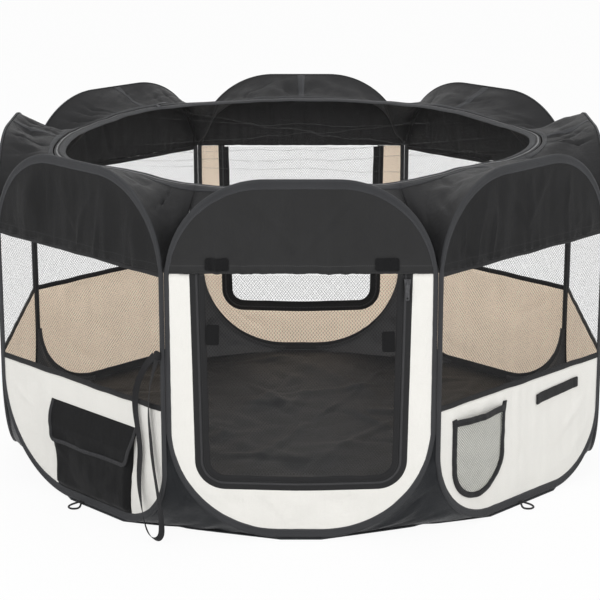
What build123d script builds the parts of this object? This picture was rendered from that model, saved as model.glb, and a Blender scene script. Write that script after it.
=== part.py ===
"""Octagonal fold-up fabric playpen for a pet: eight sprung hoop walls, a zip-off floor and a zip-off net lid.

Frame: +Z up, origin on the ground at the middle of the pen, the front doorway towards -Y. Millimetres.
Every wall is drawn as the front wall and turned into place by 45 degrees a step. In a wall's own terms
u runs along it, n runs outward from its inner face plane, and z is height.
"""
from build123d import *
from math import atan2, cos, degrees, hypot, radians, sin, sqrt, tan
import os

# ---- driving dimensions -------------------------------------------------------------------------
SIDES = 8
SIDE = 462.0                 # hinge line to hinge line along one wall
HEIGHT = 640.0               # ground to the top of the arches
MAT_THICK = 3.0              # padded floor
WALL_FOOT = 3.5              # the hoops stand just clear of the floor sheet
WALL_SETBACK = 2.0           # each wall ends this far short of its hinge line
WALL_INNER, WALL_OUTER = 0.5, 5.5      # n of a wall's two faces
ARCH_R = 168.0               # top corners of a hoop
BAND_Z = 479.0               # lower edge of the black upper band
SILL_Z = 233.0               # lower edge of the net windows
FABRIC = (2.2, 3.8)          # n of the two faces of a sewn-in panel
NET = (2.5, 3.5)             # n of the two faces of a net panel
WIRE_D = 3.5                 # sprung hoop wire
WIRE_INSET = 3.0             # wire centre inside the hoop's outline
FERRULE_D, FERRULE_L = 4.1, 28.0
BINDING_SIDE = 6.5           # width of the folded binding tape on a hoop's uprights
BINDING_ARCH = 17.0          # and along its top and its foot
DOOR_U = 185.0               # half width of the door opening in its frame
DOOR_SILL = 98.0             # height of the door opening's foot
DOOR_R = 50.0                # its bottom corners
TAPE_W = 14.0                # zip tape sewn round the door opening
FLAP_N = (4.2, 5.4)          # the net door hangs just outside its frame
RIM_R = 482.0                # circular zip round the lid
RIM_Z = 603.0
RIM_W = 12.0
WEB_Z = 600.0                # the eaves' height between two neighbouring arches

HALF = SIDE / 2
APOTHEM = HALF / tan(radians(180 / SIDES))
HALF_WALL = HALF - WALL_SETBACK
WALLS = ["front", "front_right", "right", "back_right", "back", "back_left", "left", "front_left"]
# Radii of each hoop's two bottom corners, left and right: the tension of the cloth sets them apart.
FEET = [(195, 195), (148, 130), (130, 150), (150, 150), (195, 195), (150, 150), (150, 195), (195, 115)]
DOOR_WALLS = ("front", "back")
PEG_WALLS = ("front_right", "back_right", "back_left", "front_left")

os.makedirs("parts", exist_ok=True)


# ---- helpers ------------------------------------------------------------------------------------
def wall_plane(n):
    """Drawing plane of the front wall at n: x runs along the wall, y is height, +extrude is outward."""
    return Plane.XZ.offset(APOTHEM + n)


def to_wall(shape, wall):
    """Turn a shape drawn on the front wall to the named wall."""
    return Rot(0, 0, 360 / SIDES * WALLS.index(wall)) * shape


def slab(face, n0, n1):
    """Extrude a face drawn in wall terms (x=u, y=z) from n0 to n1."""
    return extrude(wall_plane(n0) * face, n1 - n0)


def save(name, shape):
    """Write one node as a STEP file."""
    solids = shape.solids() if hasattr(shape, "solids") else ShapeList([s for x in shape for s in x.solids()])
    export_step(solids[0] if len(solids) == 1 else Compound(children=list(solids)), f"parts/{name}.step")
    print(name, len(solids), round(sum(s.volume for s in solids)))


def hoop_outline(side, foot, top, feet, arch_r):
    """Closed outline with straight uprights and large round corners, in wall terms."""
    s, f, t = side, foot, top
    left, right = feet
    return Wire([
        Line((-s + left, f), (s - right, f)),
        CenterArc((s - right, f + right), right, -90, 90),
        Line((s, f + right), (s, t - arch_r)),
        CenterArc((s - arch_r, t - arch_r), arch_r, 0, 90),
        Line((s - arch_r, t), (-s + arch_r, t)),
        CenterArc((-s + arch_r, t - arch_r), arch_r, 90, 90),
        Line((-s, t - arch_r), (-s, f + left)),
        CenterArc((-s + left, f + left), left, 180, 90),
    ])


def inset_outline(feet, d):
    """The outline of a hoop with these bottom corners, moved inward by d all round."""
    return hoop_outline(HALF_WALL - d, WALL_FOOT + d, HEIGHT - d, [r - d for r in feet], ARCH_R - d)


def inset_face(feet, d):
    return make_face(inset_outline(feet, d))


def block(u0, u1, z0, z1):
    """A rectangle in wall terms."""
    return Pos((u0 + u1) / 2, (z0 + z1) / 2) * Rectangle(u1 - u0, z1 - z0)


def arch_height(u):
    """Height of the hoop's outline at u, over its top."""
    flat = HALF_WALL - ARCH_R
    if abs(u) <= flat:
        return HEIGHT
    return HEIGHT - ARCH_R + sqrt(max(ARCH_R ** 2 - (abs(u) - flat) ** 2, 0))


# ---- one wall -----------------------------------------------------------------------------------
def hoop_wire(feet):
    """Sprung steel wire bent to the hoop, its ends joined in a swaged ferrule at the middle of the foot."""
    d = WIRE_INSET
    path = wall_plane((WALL_INNER + WALL_OUTER) / 2) * inset_outline(feet, d)
    start = Plane(path @ 0, z_dir=path % 0)
    wire = sweep(start * RegularPolygon(WIRE_D / 2, 8), path=path)      # few faces: it is sealed in its tape
    n_mid = APOTHEM + (WALL_INNER + WALL_OUTER) / 2
    ferrule = Pos(0, -n_mid, WALL_FOOT + d) * Rot(0, 90, 0) * Cylinder(FERRULE_D / 2, FERRULE_L)
    return wire + ferrule


def binding(feet):
    """Binding tape folded round the wire and over the edges of the wall's fabric."""
    less = 9.0
    inner = make_face(hoop_outline(HALF_WALL - BINDING_SIDE, WALL_FOOT + BINDING_ARCH, HEIGHT - BINDING_ARCH,
                                   [r - less for r in feet], ARCH_R - less))
    ring = slab(inset_face(feet, 0) - inner, WALL_INNER, WALL_OUTER)
    wire_room = slab(inset_face(feet, 0.8) - inset_face(feet, 5.2), 0.85, 5.15)
    edge_room = slab(inset_face(feet, 5.2) - inner, FABRIC[0] - 0.1, FABRIC[1] + 0.1)
    return ring - wire_room - edge_room


def panel(feet, z0, z1, faces):
    """The part of a wall's sheet between two heights, its edges tucked into the binding."""
    return slab(inset_face(feet, 5.3) & block(-HALF, HALF, z0, z1), *faces)


def door_outline(inset):
    """The door opening, open at the band, moved inward by inset."""
    side, foot, r = DOOR_U - inset, DOOR_SILL + inset, DOOR_R - inset
    return make_face(Wire([
        Line((-side, BAND_Z), (-side, foot + r)),
        CenterArc((-side + r, foot + r), r, 180, 90),
        Line((-side + r, foot), (side - r, foot)),
        CenterArc((side - r, foot + r), r, 270, 90),
        Line((side, foot + r), (side, BAND_Z)),
        Line((side, BAND_Z), (-side, BAND_Z)),
    ]))


def door_frame(feet):
    """Panel below the band with the doorway cut out of it."""
    return panel(feet, WALL_FOOT, BAND_Z, FABRIC) - slab(door_outline(0), 0, WALL_OUTER)


def door_zip_tape():
    return slab(door_outline(0) - door_outline(TAPE_W), *FABRIC)


def door_flap():
    """Net door sewn to the band by its top edge, free on three sides when unzipped."""
    clear_side, clear_top = TAPE_W + 1.0, 2.0
    sheet = door_outline(clear_side) & block(-HALF, HALF, 0, BAND_Z - clear_top)
    return slab(sheet, *FLAP_N)


def flap_patches():
    """Two hook-and-loop patches on the door that meet the tabs when the door is rolled up."""
    patch = Rectangle(22, 36)
    spots = [(-149.5, 372.5), (148, 360.5)]
    return [slab(Pos(*spot) * patch, FLAP_N[1], FLAP_N[1] + 1.2) for spot in spots]


def door_tabs():
    """Two hook-and-loop tabs on the band that hold the rolled door."""
    tab = RectangleRounded(40, 21, 3)
    return [slab(Pos(u, 495) * tab, FABRIC[1], FABRIC[1] + 1.5) for u in (-141.5, 144.5)]


def zip_slider(k=1.0):
    """Zip slider with its pull, k times full size: x across the tape, y along it, z out of the tape."""
    plan = Polygon((6 * k, 8 * k), (-6 * k, 8 * k), (-4.2 * k, -8 * k), (4.2 * k, -8 * k), align=None)
    body = extrude(plan, 4.5 * k)
    body = chamfer(body.edges().group_by(Axis.Z)[-1], 1.0 * k)
    bridge = Pos(0, 0, 6.2 * k) * Box(2.4 * k, 12 * k, 3.8 * k)
    blade = RectangleRounded(7 * k, 28 * k, 2 * k) - Pos(0, -10 * k) * Circle(1.8 * k)
    pull = Pos(0, -14 * k, 6.6 * k) * extrude(blade, 1.6 * k)
    return body + bridge + pull


def door_zip_slider():
    """The door's slider at the top of its right-hand run."""
    across = DOOR_U - TAPE_W / 2 + 0.6
    place = Plane(origin=(across, -APOTHEM - FABRIC[1] - 0.4, 462), x_dir=(1, 0, 0), z_dir=(0, -1, 0))
    return place * zip_slider()


# ---- floor --------------------------------------------------------------------------------------
def wall_point(k, u, n):
    """Point of the ground plan at u and n of the wall with index k."""
    a = radians(-90 + 360 / SIDES * k)
    return Vector(cos(a), sin(a)) * (APOTHEM + n) + Vector(-sin(a), cos(a)) * u


def floor_outline(n):
    """Octagon at n, its corners cut straight across from one hoop's flat foot to the next."""
    points = []
    for k, (left, right) in enumerate(FEET):
        points += [wall_point(k, left - HALF_WALL - 1, n), wall_point(k, HALF_WALL - right + 1, n)]
    return make_face(Polyline(*points, close=True))


def floor_mat():
    return extrude(floor_outline(WALL_OUTER), MAT_THICK)


def corner_sail(profile):
    """Profile of (inward from the corner, z), drawn out square to the corner at the front's right."""
    corner_r = APOTHEM / cos(radians(180 / SIDES))
    upright = Plane(origin=(0, 0, 0), x_dir=(1, 0, 0), z_dir=(0, -1, 0))
    return Rot(0, 0, -90 + 180 / SIDES) * Pos(corner_r, 0, 0) * extrude(upright * profile, 120, both=True)


def floor_gusset(k):
    """Sail of floor fabric between the round feet of hoop k and the next, from the floor up to where they meet."""
    thick, n = 1.4, 0.19
    one, two = FEET[k][1], FEET[(k + 1) % SIDES][0]
    wide = max(one, two)
    a = radians(-90 + 360 / SIDES * (k + 0.5))
    inward = Vector(-cos(a), -sin(a))

    def gap(r, z):
        """How far a foot of radius r has drawn in from the hinge line at height z."""
        drop = max(r + WALL_FOOT - z, 0)
        return HALF - HALF_WALL + r - sqrt(r ** 2 - drop ** 2)

    def section(turn):
        """The sail's section where the wider foot has turned up by this angle."""
        t = radians(turn)
        z = WALL_FOOT + wide * (1 - cos(t))
        near = [wall_point(k, HALF - gap(one, z), n), wall_point((k + 1) % SIDES, gap(two, z) - HALF, n)]
        near = [p + Vector(0, 0, z) for p in near]
        depth = inward * (thick * sin(t)) + Vector(0, 0, thick * cos(t))
        return make_face(Polyline(*near, *[p + depth for p in reversed(near)], close=True))

    return loft([section(turn) for turn in (4, 12, 20, 30, 42, 56, 70, 84)], ruled=True)


def floor_outline_full(n):
    """The whole octagon at n."""
    r = (APOTHEM + n) / cos(radians(180 / SIDES))
    return Rot(0, 0, 180 / SIDES) * RegularPolygon(r, SIDES)


def peg_loop():
    """Cord loop at the floor's edge that a tent peg goes through."""
    eye, cord, thick, centre = 5.0, 2.3, 2.4, 24.0
    ring = Pos(0, -APOTHEM - centre) * (Circle(eye + cord) - Circle(eye))
    legs = [Pos(x, -APOTHEM - (WALL_OUTER + centre - eye) / 2) *
            Rectangle(cord, centre - eye - WALL_OUTER) for x in (-2.6, 2.6)]
    hole = Pos(0, -APOTHEM - centre) * Circle(eye)
    return extrude(ring + legs[0] + legs[1] - hole, thick)


# ---- roof ---------------------------------------------------------------------------------------
def arch_gap(z):
    """How far the arch has drawn in from the hinge line at height z."""
    return HALF - HALF_WALL + ARCH_R - sqrt(ARCH_R ** 2 - (z - HEIGHT + ARCH_R) ** 2)


def eave_panel():
    """Fabric from one arch in and down to the round zip, cut off in line with the webs at its two ends."""
    thick, half_angle = 1.4, 180 / SIDES - 0.06
    inner = RIM_R + 0.8      # its straight facets then clear the round tape
    corner_r = APOTHEM / cos(radians(180 / SIDES)) - arch_gap(WEB_Z) * sin(radians(180 / SIDES))
    def section(angle):
        a = radians(angle)
        u = APOTHEM * tan(a)
        high = max(arch_height(min(abs(u), HALF_WALL)) - 2, WEB_Z)
        outer = min((APOTHEM - 0.3) / cos(a), corner_r / cos(radians(180 / SIDES) - abs(a)))
        ends = [(outer, high), (inner, RIM_Z + thick / 2), (inner, RIM_Z - thick / 2),
                (outer, high - thick * 1.6)]
        radial = Plane(origin=(0, 0, 0), x_dir=(sin(a), -cos(a), 0), z_dir=(-cos(a), -sin(a), 0))
        return radial * make_face(Polyline(*[(x, z) for x, z in ends], close=True))
    stations = (30, HALF_WALL - ARCH_R, 105, 140, HALF - arch_gap(WEB_Z))
    half_set = [degrees(atan2(u, APOTHEM)) for u in stations]
    angles = [-half_angle] + [-a for a in reversed(half_set)] + half_set + [half_angle]
    return loft([section(a) for a in angles], ruled=True)


def eave_web():
    """Fabric between two neighbouring arches, from the fork where they part up to the eaves."""
    thick, below = 1.4, 2.6
    lean = sin(radians(180 / SIDES))
    knots = [(-arch_gap(z) * lean - 0.6, z) for z in (484, 520, 560, WEB_Z - below)]
    curve = Spline(*knots)
    back = Spline(*[(x - thick, z) for x, z in knots])
    foot, head = knots[0], knots[-1]
    profile = make_face(Wire([curve, Line(head, (head[0] - thick, head[1])), back,
                              Line((foot[0] - thick, foot[1]), foot)]))
    return corner_sail(profile) & extrude(floor_outline_full(-0.4), HEIGHT)


def rim_zip_tape():
    """Flat ring of zip tape at the eaves' inner edge."""
    thick = 2.0
    return Pos(0, 0, RIM_Z - thick / 2) * extrude(Circle(RIM_R) - Circle(RIM_R - RIM_W), thick)


def mesh_cover():
    """Round net lid, zipped to the rim."""
    thick, gap = 1.2, 0.5
    return Pos(0, 0, RIM_Z) * Cylinder(RIM_R - RIM_W - gap, thick)


def cover_zip_slider():
    """The lid's slider, at the back left of the round zip."""
    at, sit = 131.0, RIM_Z + 1.2
    across = RIM_R - RIM_W / 2
    return Rot(0, 0, at) * Pos(across, 0, sit) * zip_slider(0.85)


# ---- pockets and trims --------------------------------------------------------------------------
BAG_OUT = 15.0               # how far the flap pocket stands off the wall's inner face plane
BAG_TOP, BAG_FOOT = 172.0, 38.0


def side_profile(points, mid, half):
    """Prism along a wall, from mid - half to mid + half, of an outline given by (n, z) points."""
    outline = make_face(Polyline(*[(-APOTHEM - n, z) for n, z in points], close=True))
    return extrude(Plane(origin=(mid, 0, 0), x_dir=(0, 1, 0), z_dir=(1, 0, 0)) * outline, half, both=True)


def bag_outline(inset):
    """Front of the flap pocket, a little narrower at its foot."""
    i = inset
    shape = Polygon((150 - i, BAG_TOP), (-80 + i, BAG_TOP), (-72 + i, BAG_FOOT + i), (139 - i, BAG_FOOT + i),
                    align=None)
    low = shape.vertices().sort_by(Axis.Y)[:2]
    return fillet(low, 8 - i)


def flap_pocket_bag():
    """Bellows pocket with its own front, sides and floor, open at the top."""
    wall, lip = 1.4, 30.0
    mouth = slab(bag_outline(wall) + block(-78, 148, BAG_TOP - 12, BAG_TOP + 5) - block(-90, -80 + wall, 0, 200)
                 - block(150 - wall, 160, 0, 200), FABRIC[1] - 0.1, BAG_OUT - wall)
    slope = [(FABRIC[1] - 0.1, BAG_TOP), (BAG_OUT + 0.1, BAG_TOP - lip), (BAG_OUT + 0.1, BAG_TOP + 9),
             (FABRIC[1] - 0.1, BAG_TOP + 9)]
    return slab(bag_outline(0), FABRIC[1], BAG_OUT) - mouth - side_profile(slope, 35, 125)


def flap_pocket_flap():
    """Flap over the pocket's mouth, sewn to the wall above it."""
    thick, hem = 1.4, 113.0
    over = BAG_OUT + 1.0
    lean = [(4.2, 184), (over, 143), (over, hem), (over + thick, hem), (over + thick, 143.5), (4.2, 186)]
    flap = side_profile(lean, 35, 122)
    corners = flap.edges().filter_by(Axis.Y).group_by(Axis.Z)[0]
    return fillet(corners, 14)


def bottle_pocket():
    """Half-round net pocket with a deep mouth, narrowing to its foot."""
    top, foot, half, thick, mid = 207.0, 53.0, 64.0, 1.4, -118.5
    def u_shape(i):
        r = half - i
        return make_face(Wire([
            Line((mid - r, top + i), (mid - r, foot + half)),
            CenterArc((mid, foot + half), r, 180, 180),
            Line((mid + r, foot + half), (mid + r, top + i)),
            Line((mid + r, top + i), (mid - r, top + i)),
        ]))
    def lean(i):
        """Everything behind a front that leans out towards the mouth, moved in by i."""
        front = [(6.2 - i, foot - 5), (21 - i, top + 5)]
        return side_profile([(0, foot - 5)] + front + [(0, top + 5)], mid, half + 5)
    outer = slab(u_shape(0), FABRIC[1], 30) & lean(0)
    inner = slab(u_shape(thick), FABRIC[1] - 0.5, 30) & lean(thick)
    return outer - inner


def webbing_strip():
    return slab(Pos(99, 196.5) * Rot(0, 0, 3.5) * Rectangle(122, 17), FABRIC[1], FABRIC[1] + 1.6)


# Tie ribbon: hangs as one long loop from a knot at the front left corner, on the front left wall.
RIBBON_SECTION = 4.0
KNOT = (221.0, 9.5, 334.0)
RIBBON = [
    (219, 9.5, 327), (214, 10.5, 309), (205, 11.5, 285), (199, 12, 252), (198, 12, 217), (202, 12, 184),
    (206, 13, 153), (213, 14.5, 122), (221, 17, 92), (229, 20, 64), (233, 24, 38), (228, 28, 16),
    (213, 29, 6), (197, 26.5, 11), (185, 22.5, 28), (178, 18, 53), (171.5, 14.5, 84), (170.5, 12.5, 117),
    (174.5, 12, 150), (170.5, 12, 184), (163.5, 12, 216), (162.5, 12, 246), (171, 11.5, 276), (186, 10.5, 302),
    (201, 9.8, 321), (214, 9.5, 333),
]


def tie_ribbon():
    """The ribbon's loop, as a plain eight-sided bar, and the knot that it hangs from."""
    points = [Vector(u, -APOTHEM - n, z) for u, n, z in RIBBON]
    runs = [b - a for a, b in zip(points, points[1:])]
    radii = []
    for one, two in zip(runs, runs[1:]):
        turn = radians(one.get_angle(two))
        radii.append(0.45 * min(one.length, two.length) / tan(turn / 2))
    print("ribbon radii", [round(r) for r in radii])
    path = FilletPolyline(*points, radius=radii)
    tube = sweep(Plane(path @ 0, z_dir=path % 0) * RegularPolygon(RIBBON_SECTION / 2, 8), path=path)
    print("ribbon length", round(path.length))
    knot = Pos(KNOT[0], -APOTHEM - KNOT[1], KNOT[2]) * Box(14, 8, 14)
    return [tube, fillet(knot.edges(), 2.5)]


# ---- write every node ---------------------------------------------------------------------------
for wall, feet in zip(WALLS, FEET):
    save(f"{wall}_hoop_wire", to_wall(hoop_wire(feet), wall))
    save(f"{wall}_binding", to_wall(binding(feet), wall))
    save(f"{wall}_upper_band", to_wall(panel(feet, BAND_Z, HEIGHT, FABRIC), wall))
    if wall in DOOR_WALLS:
        save(f"{wall}_door_frame", to_wall(door_frame(feet), wall))
    else:
        save(f"{wall}_mesh_window", to_wall(panel(feet, SILL_Z, BAND_Z, NET), wall))
        save(f"{wall}_lower_panel", to_wall(panel(feet, WALL_FOOT, SILL_Z, FABRIC), wall))

for wall in DOOR_WALLS:
    save(f"{wall}_door_zip_tape", to_wall(door_zip_tape(), wall))
    save(f"{wall}_door_flap", to_wall(door_flap(), wall))
    save(f"{wall}_flap_patches", [to_wall(s, wall) for s in flap_patches()])
    save(f"{wall}_door_tabs", [to_wall(s, wall) for s in door_tabs()])
    save(f"{wall}_door_zip_slider", to_wall(door_zip_slider(), wall))

save("floor_mat", floor_mat())
save("floor_gussets", [floor_gusset(k) for k in range(SIDES)])
save("peg_loops", [to_wall(peg_loop(), wall) for wall in PEG_WALLS])

gore, web = eave_panel(), eave_web()
turns = [Rot(0, 0, 360 / SIDES * k) for k in range(SIDES)]
save("eave_ring", [turn * gore for turn in turns] + [turn * web for turn in turns])
save("rim_zip_tape", rim_zip_tape())
save("mesh_cover", mesh_cover())
save("cover_zip_slider", cover_zip_slider())

save("flap_pocket_bag", to_wall(flap_pocket_bag(), "front_left"))
save("flap_pocket_flap", to_wall(flap_pocket_flap(), "front_left"))
save("bottle_pocket", to_wall(bottle_pocket(), "front_right"))
save("webbing_strip", to_wall(webbing_strip(), "front_right"))
save("tie_ribbon", [to_wall(s, "front_left") for s in tie_ribbon()])
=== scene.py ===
"""Finished look of an eight-sided fold-up pet playpen, sewn round its fixed CAD frame. Metres, +Z up.

Each wall is described in its own terms: u runs along it, n runs outward from its inner face and z is height.
"""

import logging
import math
from collections.abc import Callable, Sequence
from dataclasses import dataclass, field
from enum import Enum
from functools import cached_property, partial
from itertools import accumulate

import bmesh
import bpy
from mathutils import Matrix, Vector, noise


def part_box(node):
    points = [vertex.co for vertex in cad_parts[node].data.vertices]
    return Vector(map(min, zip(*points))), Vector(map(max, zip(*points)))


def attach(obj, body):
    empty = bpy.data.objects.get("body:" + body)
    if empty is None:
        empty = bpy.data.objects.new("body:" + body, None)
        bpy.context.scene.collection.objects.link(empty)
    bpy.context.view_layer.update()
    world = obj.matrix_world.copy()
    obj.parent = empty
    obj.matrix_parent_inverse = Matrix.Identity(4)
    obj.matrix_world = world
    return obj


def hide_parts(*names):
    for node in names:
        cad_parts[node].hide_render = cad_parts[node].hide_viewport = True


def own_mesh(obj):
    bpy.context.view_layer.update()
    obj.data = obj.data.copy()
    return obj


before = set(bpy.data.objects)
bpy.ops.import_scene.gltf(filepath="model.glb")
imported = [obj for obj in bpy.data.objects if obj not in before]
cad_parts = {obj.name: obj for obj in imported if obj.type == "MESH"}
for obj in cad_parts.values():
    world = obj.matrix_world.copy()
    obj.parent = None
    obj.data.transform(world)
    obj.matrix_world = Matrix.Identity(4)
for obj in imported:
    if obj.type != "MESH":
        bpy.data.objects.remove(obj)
log = logging.getLogger("playpen")

SIDES = 8
HALF = 0.231                                     # half of one wall, hinge line to hinge line
TURN = 2 * math.pi / SIDES
APOTHEM = HALF / math.tan(TURN / 2)
BAND_Z = 0.479                                   # lower edge of the upper band
SILL_Z = 0.233                                   # lower edge of the windows
FACE_N = 0.0038                                  # n of the outside of a wall's cloth
CLOTH = 0.0012                                   # thickness of the oxford cloth
WELD = 1e-6                                      # how near the corners of one patch are joined
JOIN = 2e-5                                      # how near the corners of a piece's patches are joined
SHARP = math.radians(50)                         # angle from which an edge isn't shaded smooth
UV = "cloth"

# Radii of each hoop's bottom corners, left and right, wall by wall.
FEET = ((0.195, 0.195), (0.148, 0.130), (0.130, 0.150), (0.150, 0.150),
        (0.195, 0.195), (0.150, 0.150), (0.150, 0.195), (0.195, 0.115))

Spot = tuple[float, float]
Corner = tuple[Vector, Spot]                     # a point and its cloth coordinates
Place = Callable[[float, float], Corner]         # the corner at two shares
Section = Callable[[float], Sequence[Spot]]      # a tape's outline at a share of its route
Span = Callable[[float], Spot]                   # two ends at a height
Socket = bpy.types.NodeSocket


class Wall(Enum):
    """The eight walls, counted anticlockwise from the front."""

    FRONT = 0
    FRONT_RIGHT = 1
    RIGHT = 2
    BACK_RIGHT = 3
    BACK = 4
    BACK_LEFT = 5
    LEFT = 6
    FRONT_LEFT = 7

    @property
    def label(self) -> str:
        """Name of the wall in node names."""
        return self.name.lower()

    @property
    def body(self) -> str:
        """Name of the wall's CAD body."""
        return f"{self.label}_wall"

    @property
    def has_door(self) -> bool:
        """Whether this is one of the two walls with a doorway."""
        return self in (Wall.FRONT, Wall.BACK)

    @property
    def after(self) -> "Wall":
        """The wall to the right of this one."""
        return Wall((self.value + 1) % SIDES)

    def point(self, u: float, n: float, z: float) -> Vector:
        """Point of the frame at this wall's u, n and z.

        Args:
            u: Place along the wall.
            n: Distance out from its inner face.
            z: Height.

        Returns:
            The point.
        """
        c, s = math.cos(self.value * TURN), math.sin(self.value * TURN)
        out = APOTHEM + n
        return Vector((u * c + out * s, u * s - out * c, z))

    def outward(self) -> Vector:
        """Unit vector along n."""
        return Vector((math.sin(self.value * TURN), -math.cos(self.value * TURN), 0))


# ---- small shape helpers ------------------------------------------------------------------------
def smooth(x: float) -> float:
    """Smooth step from 0 at x = 0 to 1 at x = 1."""
    x = min(max(x, 0.0), 1.0)
    return x * x * (3 - 2 * x)


def uneven(a: float, b: float, seed: float) -> float:
    """Unevenness from -1 to 1 that changes over a distance of about 1."""
    return noise.noise(Vector((a, b, seed)))


def swell(a: float, b: float, seed: float, wide: float, high: float) -> float:
    """Soft unevenness of hung cloth.

    Args:
        a: First coordinate on the cloth.
        b: Second coordinate on the cloth.
        seed: Number of the piece.
        wide: Size of a swell along a.
        high: Size of a swell along b.

    Returns:
        A height between about -1 and 1.
    """
    return 1.6 * noise.fractal(Vector((a / wide, b / high, seed * 5.37)), 1.0, 2.0, 2)


def crease(a: float, b: float, seed: float, angle: float, short: float, long: float) -> float:
    """Narrow raised folds that run at an angle across cloth.

    Args:
        a: First coordinate on the cloth.
        b: Second coordinate on the cloth.
        seed: Number of the piece.
        angle: Direction of the folds, in degrees from a.
        short: Distance between folds.
        long: Length of a fold.

    Returns:
        A height from 0 to 1.
    """
    c, s = math.cos(math.radians(angle)), math.sin(math.radians(angle))
    along, across = a * c + b * s, b * c - a * s
    here = uneven(along / long, across / short, seed * 3.19 + 11)
    share = smooth(0.5 + uneven(a / 0.11, b / 0.11, seed + 40))
    return smooth(1 - abs(here) / 0.16) * share


def between(x: float, knots: Sequence[Spot]) -> float:
    """Value at x of a line through knots of (x, value).

    Args:
        x: Where the value is wanted.
        knots: The knots, in order of x.

    Returns:
        The value.
    """
    for (x0, y0), (x1, y1) in zip(knots, knots[1:]):
        if x <= x1:
            return y0 + (y1 - y0) * (x - x0) / (x1 - x0)
    return knots[-1][1]


def spline_line(points: Sequence[Vector], steps: int) -> list[Vector]:
    """Smooth line, read from the spline that the points control.

    Args:
        points: The route's points.
        steps: How finely the line is divided.

    Returns:
        Points along the line.
    """
    curve = bpy.data.curves.new("route", "CURVE")
    curve.dimensions, curve.resolution_u = "3D", steps
    spline = curve.splines.new("NURBS")
    spline.points.add(len(points) - 1)
    for point, spot in zip(spline.points, points):
        point.co = (*spot, 1.0)
    spline.order_u, spline.use_endpoint_u = 3, True
    holder = bpy.data.objects.new("route", curve)
    mesh = bpy.data.meshes.new_from_object(holder)
    line = [vert.co.copy() for vert in mesh.vertices]
    bpy.data.objects.remove(holder)
    bpy.data.curves.remove(curve)
    bpy.data.meshes.remove(mesh)
    return line


def heading(line: Sequence[Vector], i: int) -> Vector:
    """Unit vector of the way that a line of points runs at one of them."""
    return (line[min(i + 1, len(line) - 1)] - line[max(i - 1, 0)]).normalized()


@dataclass(frozen=True)
class Route:
    """A line on a wall through corner points, each rounded by its own radius."""

    corners: tuple[tuple[float, float, float], ...]      # u, z and radius
    closed: bool = False

    @cached_property
    def legs(self) -> list[tuple[float, Vector, Vector, float]]:
        """Straight and round legs as (length, start, direction, curvature)."""
        spots = [Vector((u, z)) for u, z, _ in self.corners]
        count = len(spots)
        cuts, turns = [0.0] * count, [0.0] * count
        for i in range(count):
            if self.closed or 0 < i < count - 1:
                one = (spots[i] - spots[i - 1]).normalized()
                two = (spots[(i + 1) % count] - spots[i]).normalized()
                turns[i] = math.atan2(one.x * two.y - one.y * two.x, one.dot(two))
                cuts[i] = self.corners[i][2] * abs(math.tan(turns[i] / 2))
        made = []
        for i in range(count if self.closed else count - 1):
            j = (i + 1) % count
            way = (spots[j] - spots[i]).normalized()
            start = spots[i] + way * cuts[i]
            made.append(((spots[j] - spots[i]).length - cuts[i] - cuts[j], start, way, 0.0))
            if cuts[j] > 0:
                radius = self.corners[j][2]
                bend = math.copysign(1 / radius, turns[j])
                made.append((radius * abs(turns[j]), spots[j] - way * cuts[j], way, bend))
        return made

    @cached_property
    def length(self) -> float:
        """Whole length of the line."""
        return sum(leg[0] for leg in self.legs)

    def at(self, share: float) -> tuple[Vector, Vector]:
        """Point and outward side at a share of the line's length.

        Args:
            share: From 0 at the start to 1 at the end.

        Returns:
            The point, and the unit vector to the right of the way it runs.
        """
        left = min(max(share, 0.0), 1.0) * self.length
        for length, start, way, bend in self.legs:
            if left <= length + 1e-9:
                break
            left -= length
        if bend:
            side = Vector((-way.y, way.x)) / bend
            turn = left * bend
            point = start + side - Matrix.Rotation(turn, 2) @ side
            way = Matrix.Rotation(turn, 2) @ way
        else:
            point = start + way * left
        return point, Vector((way.y, -way.x))


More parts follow.
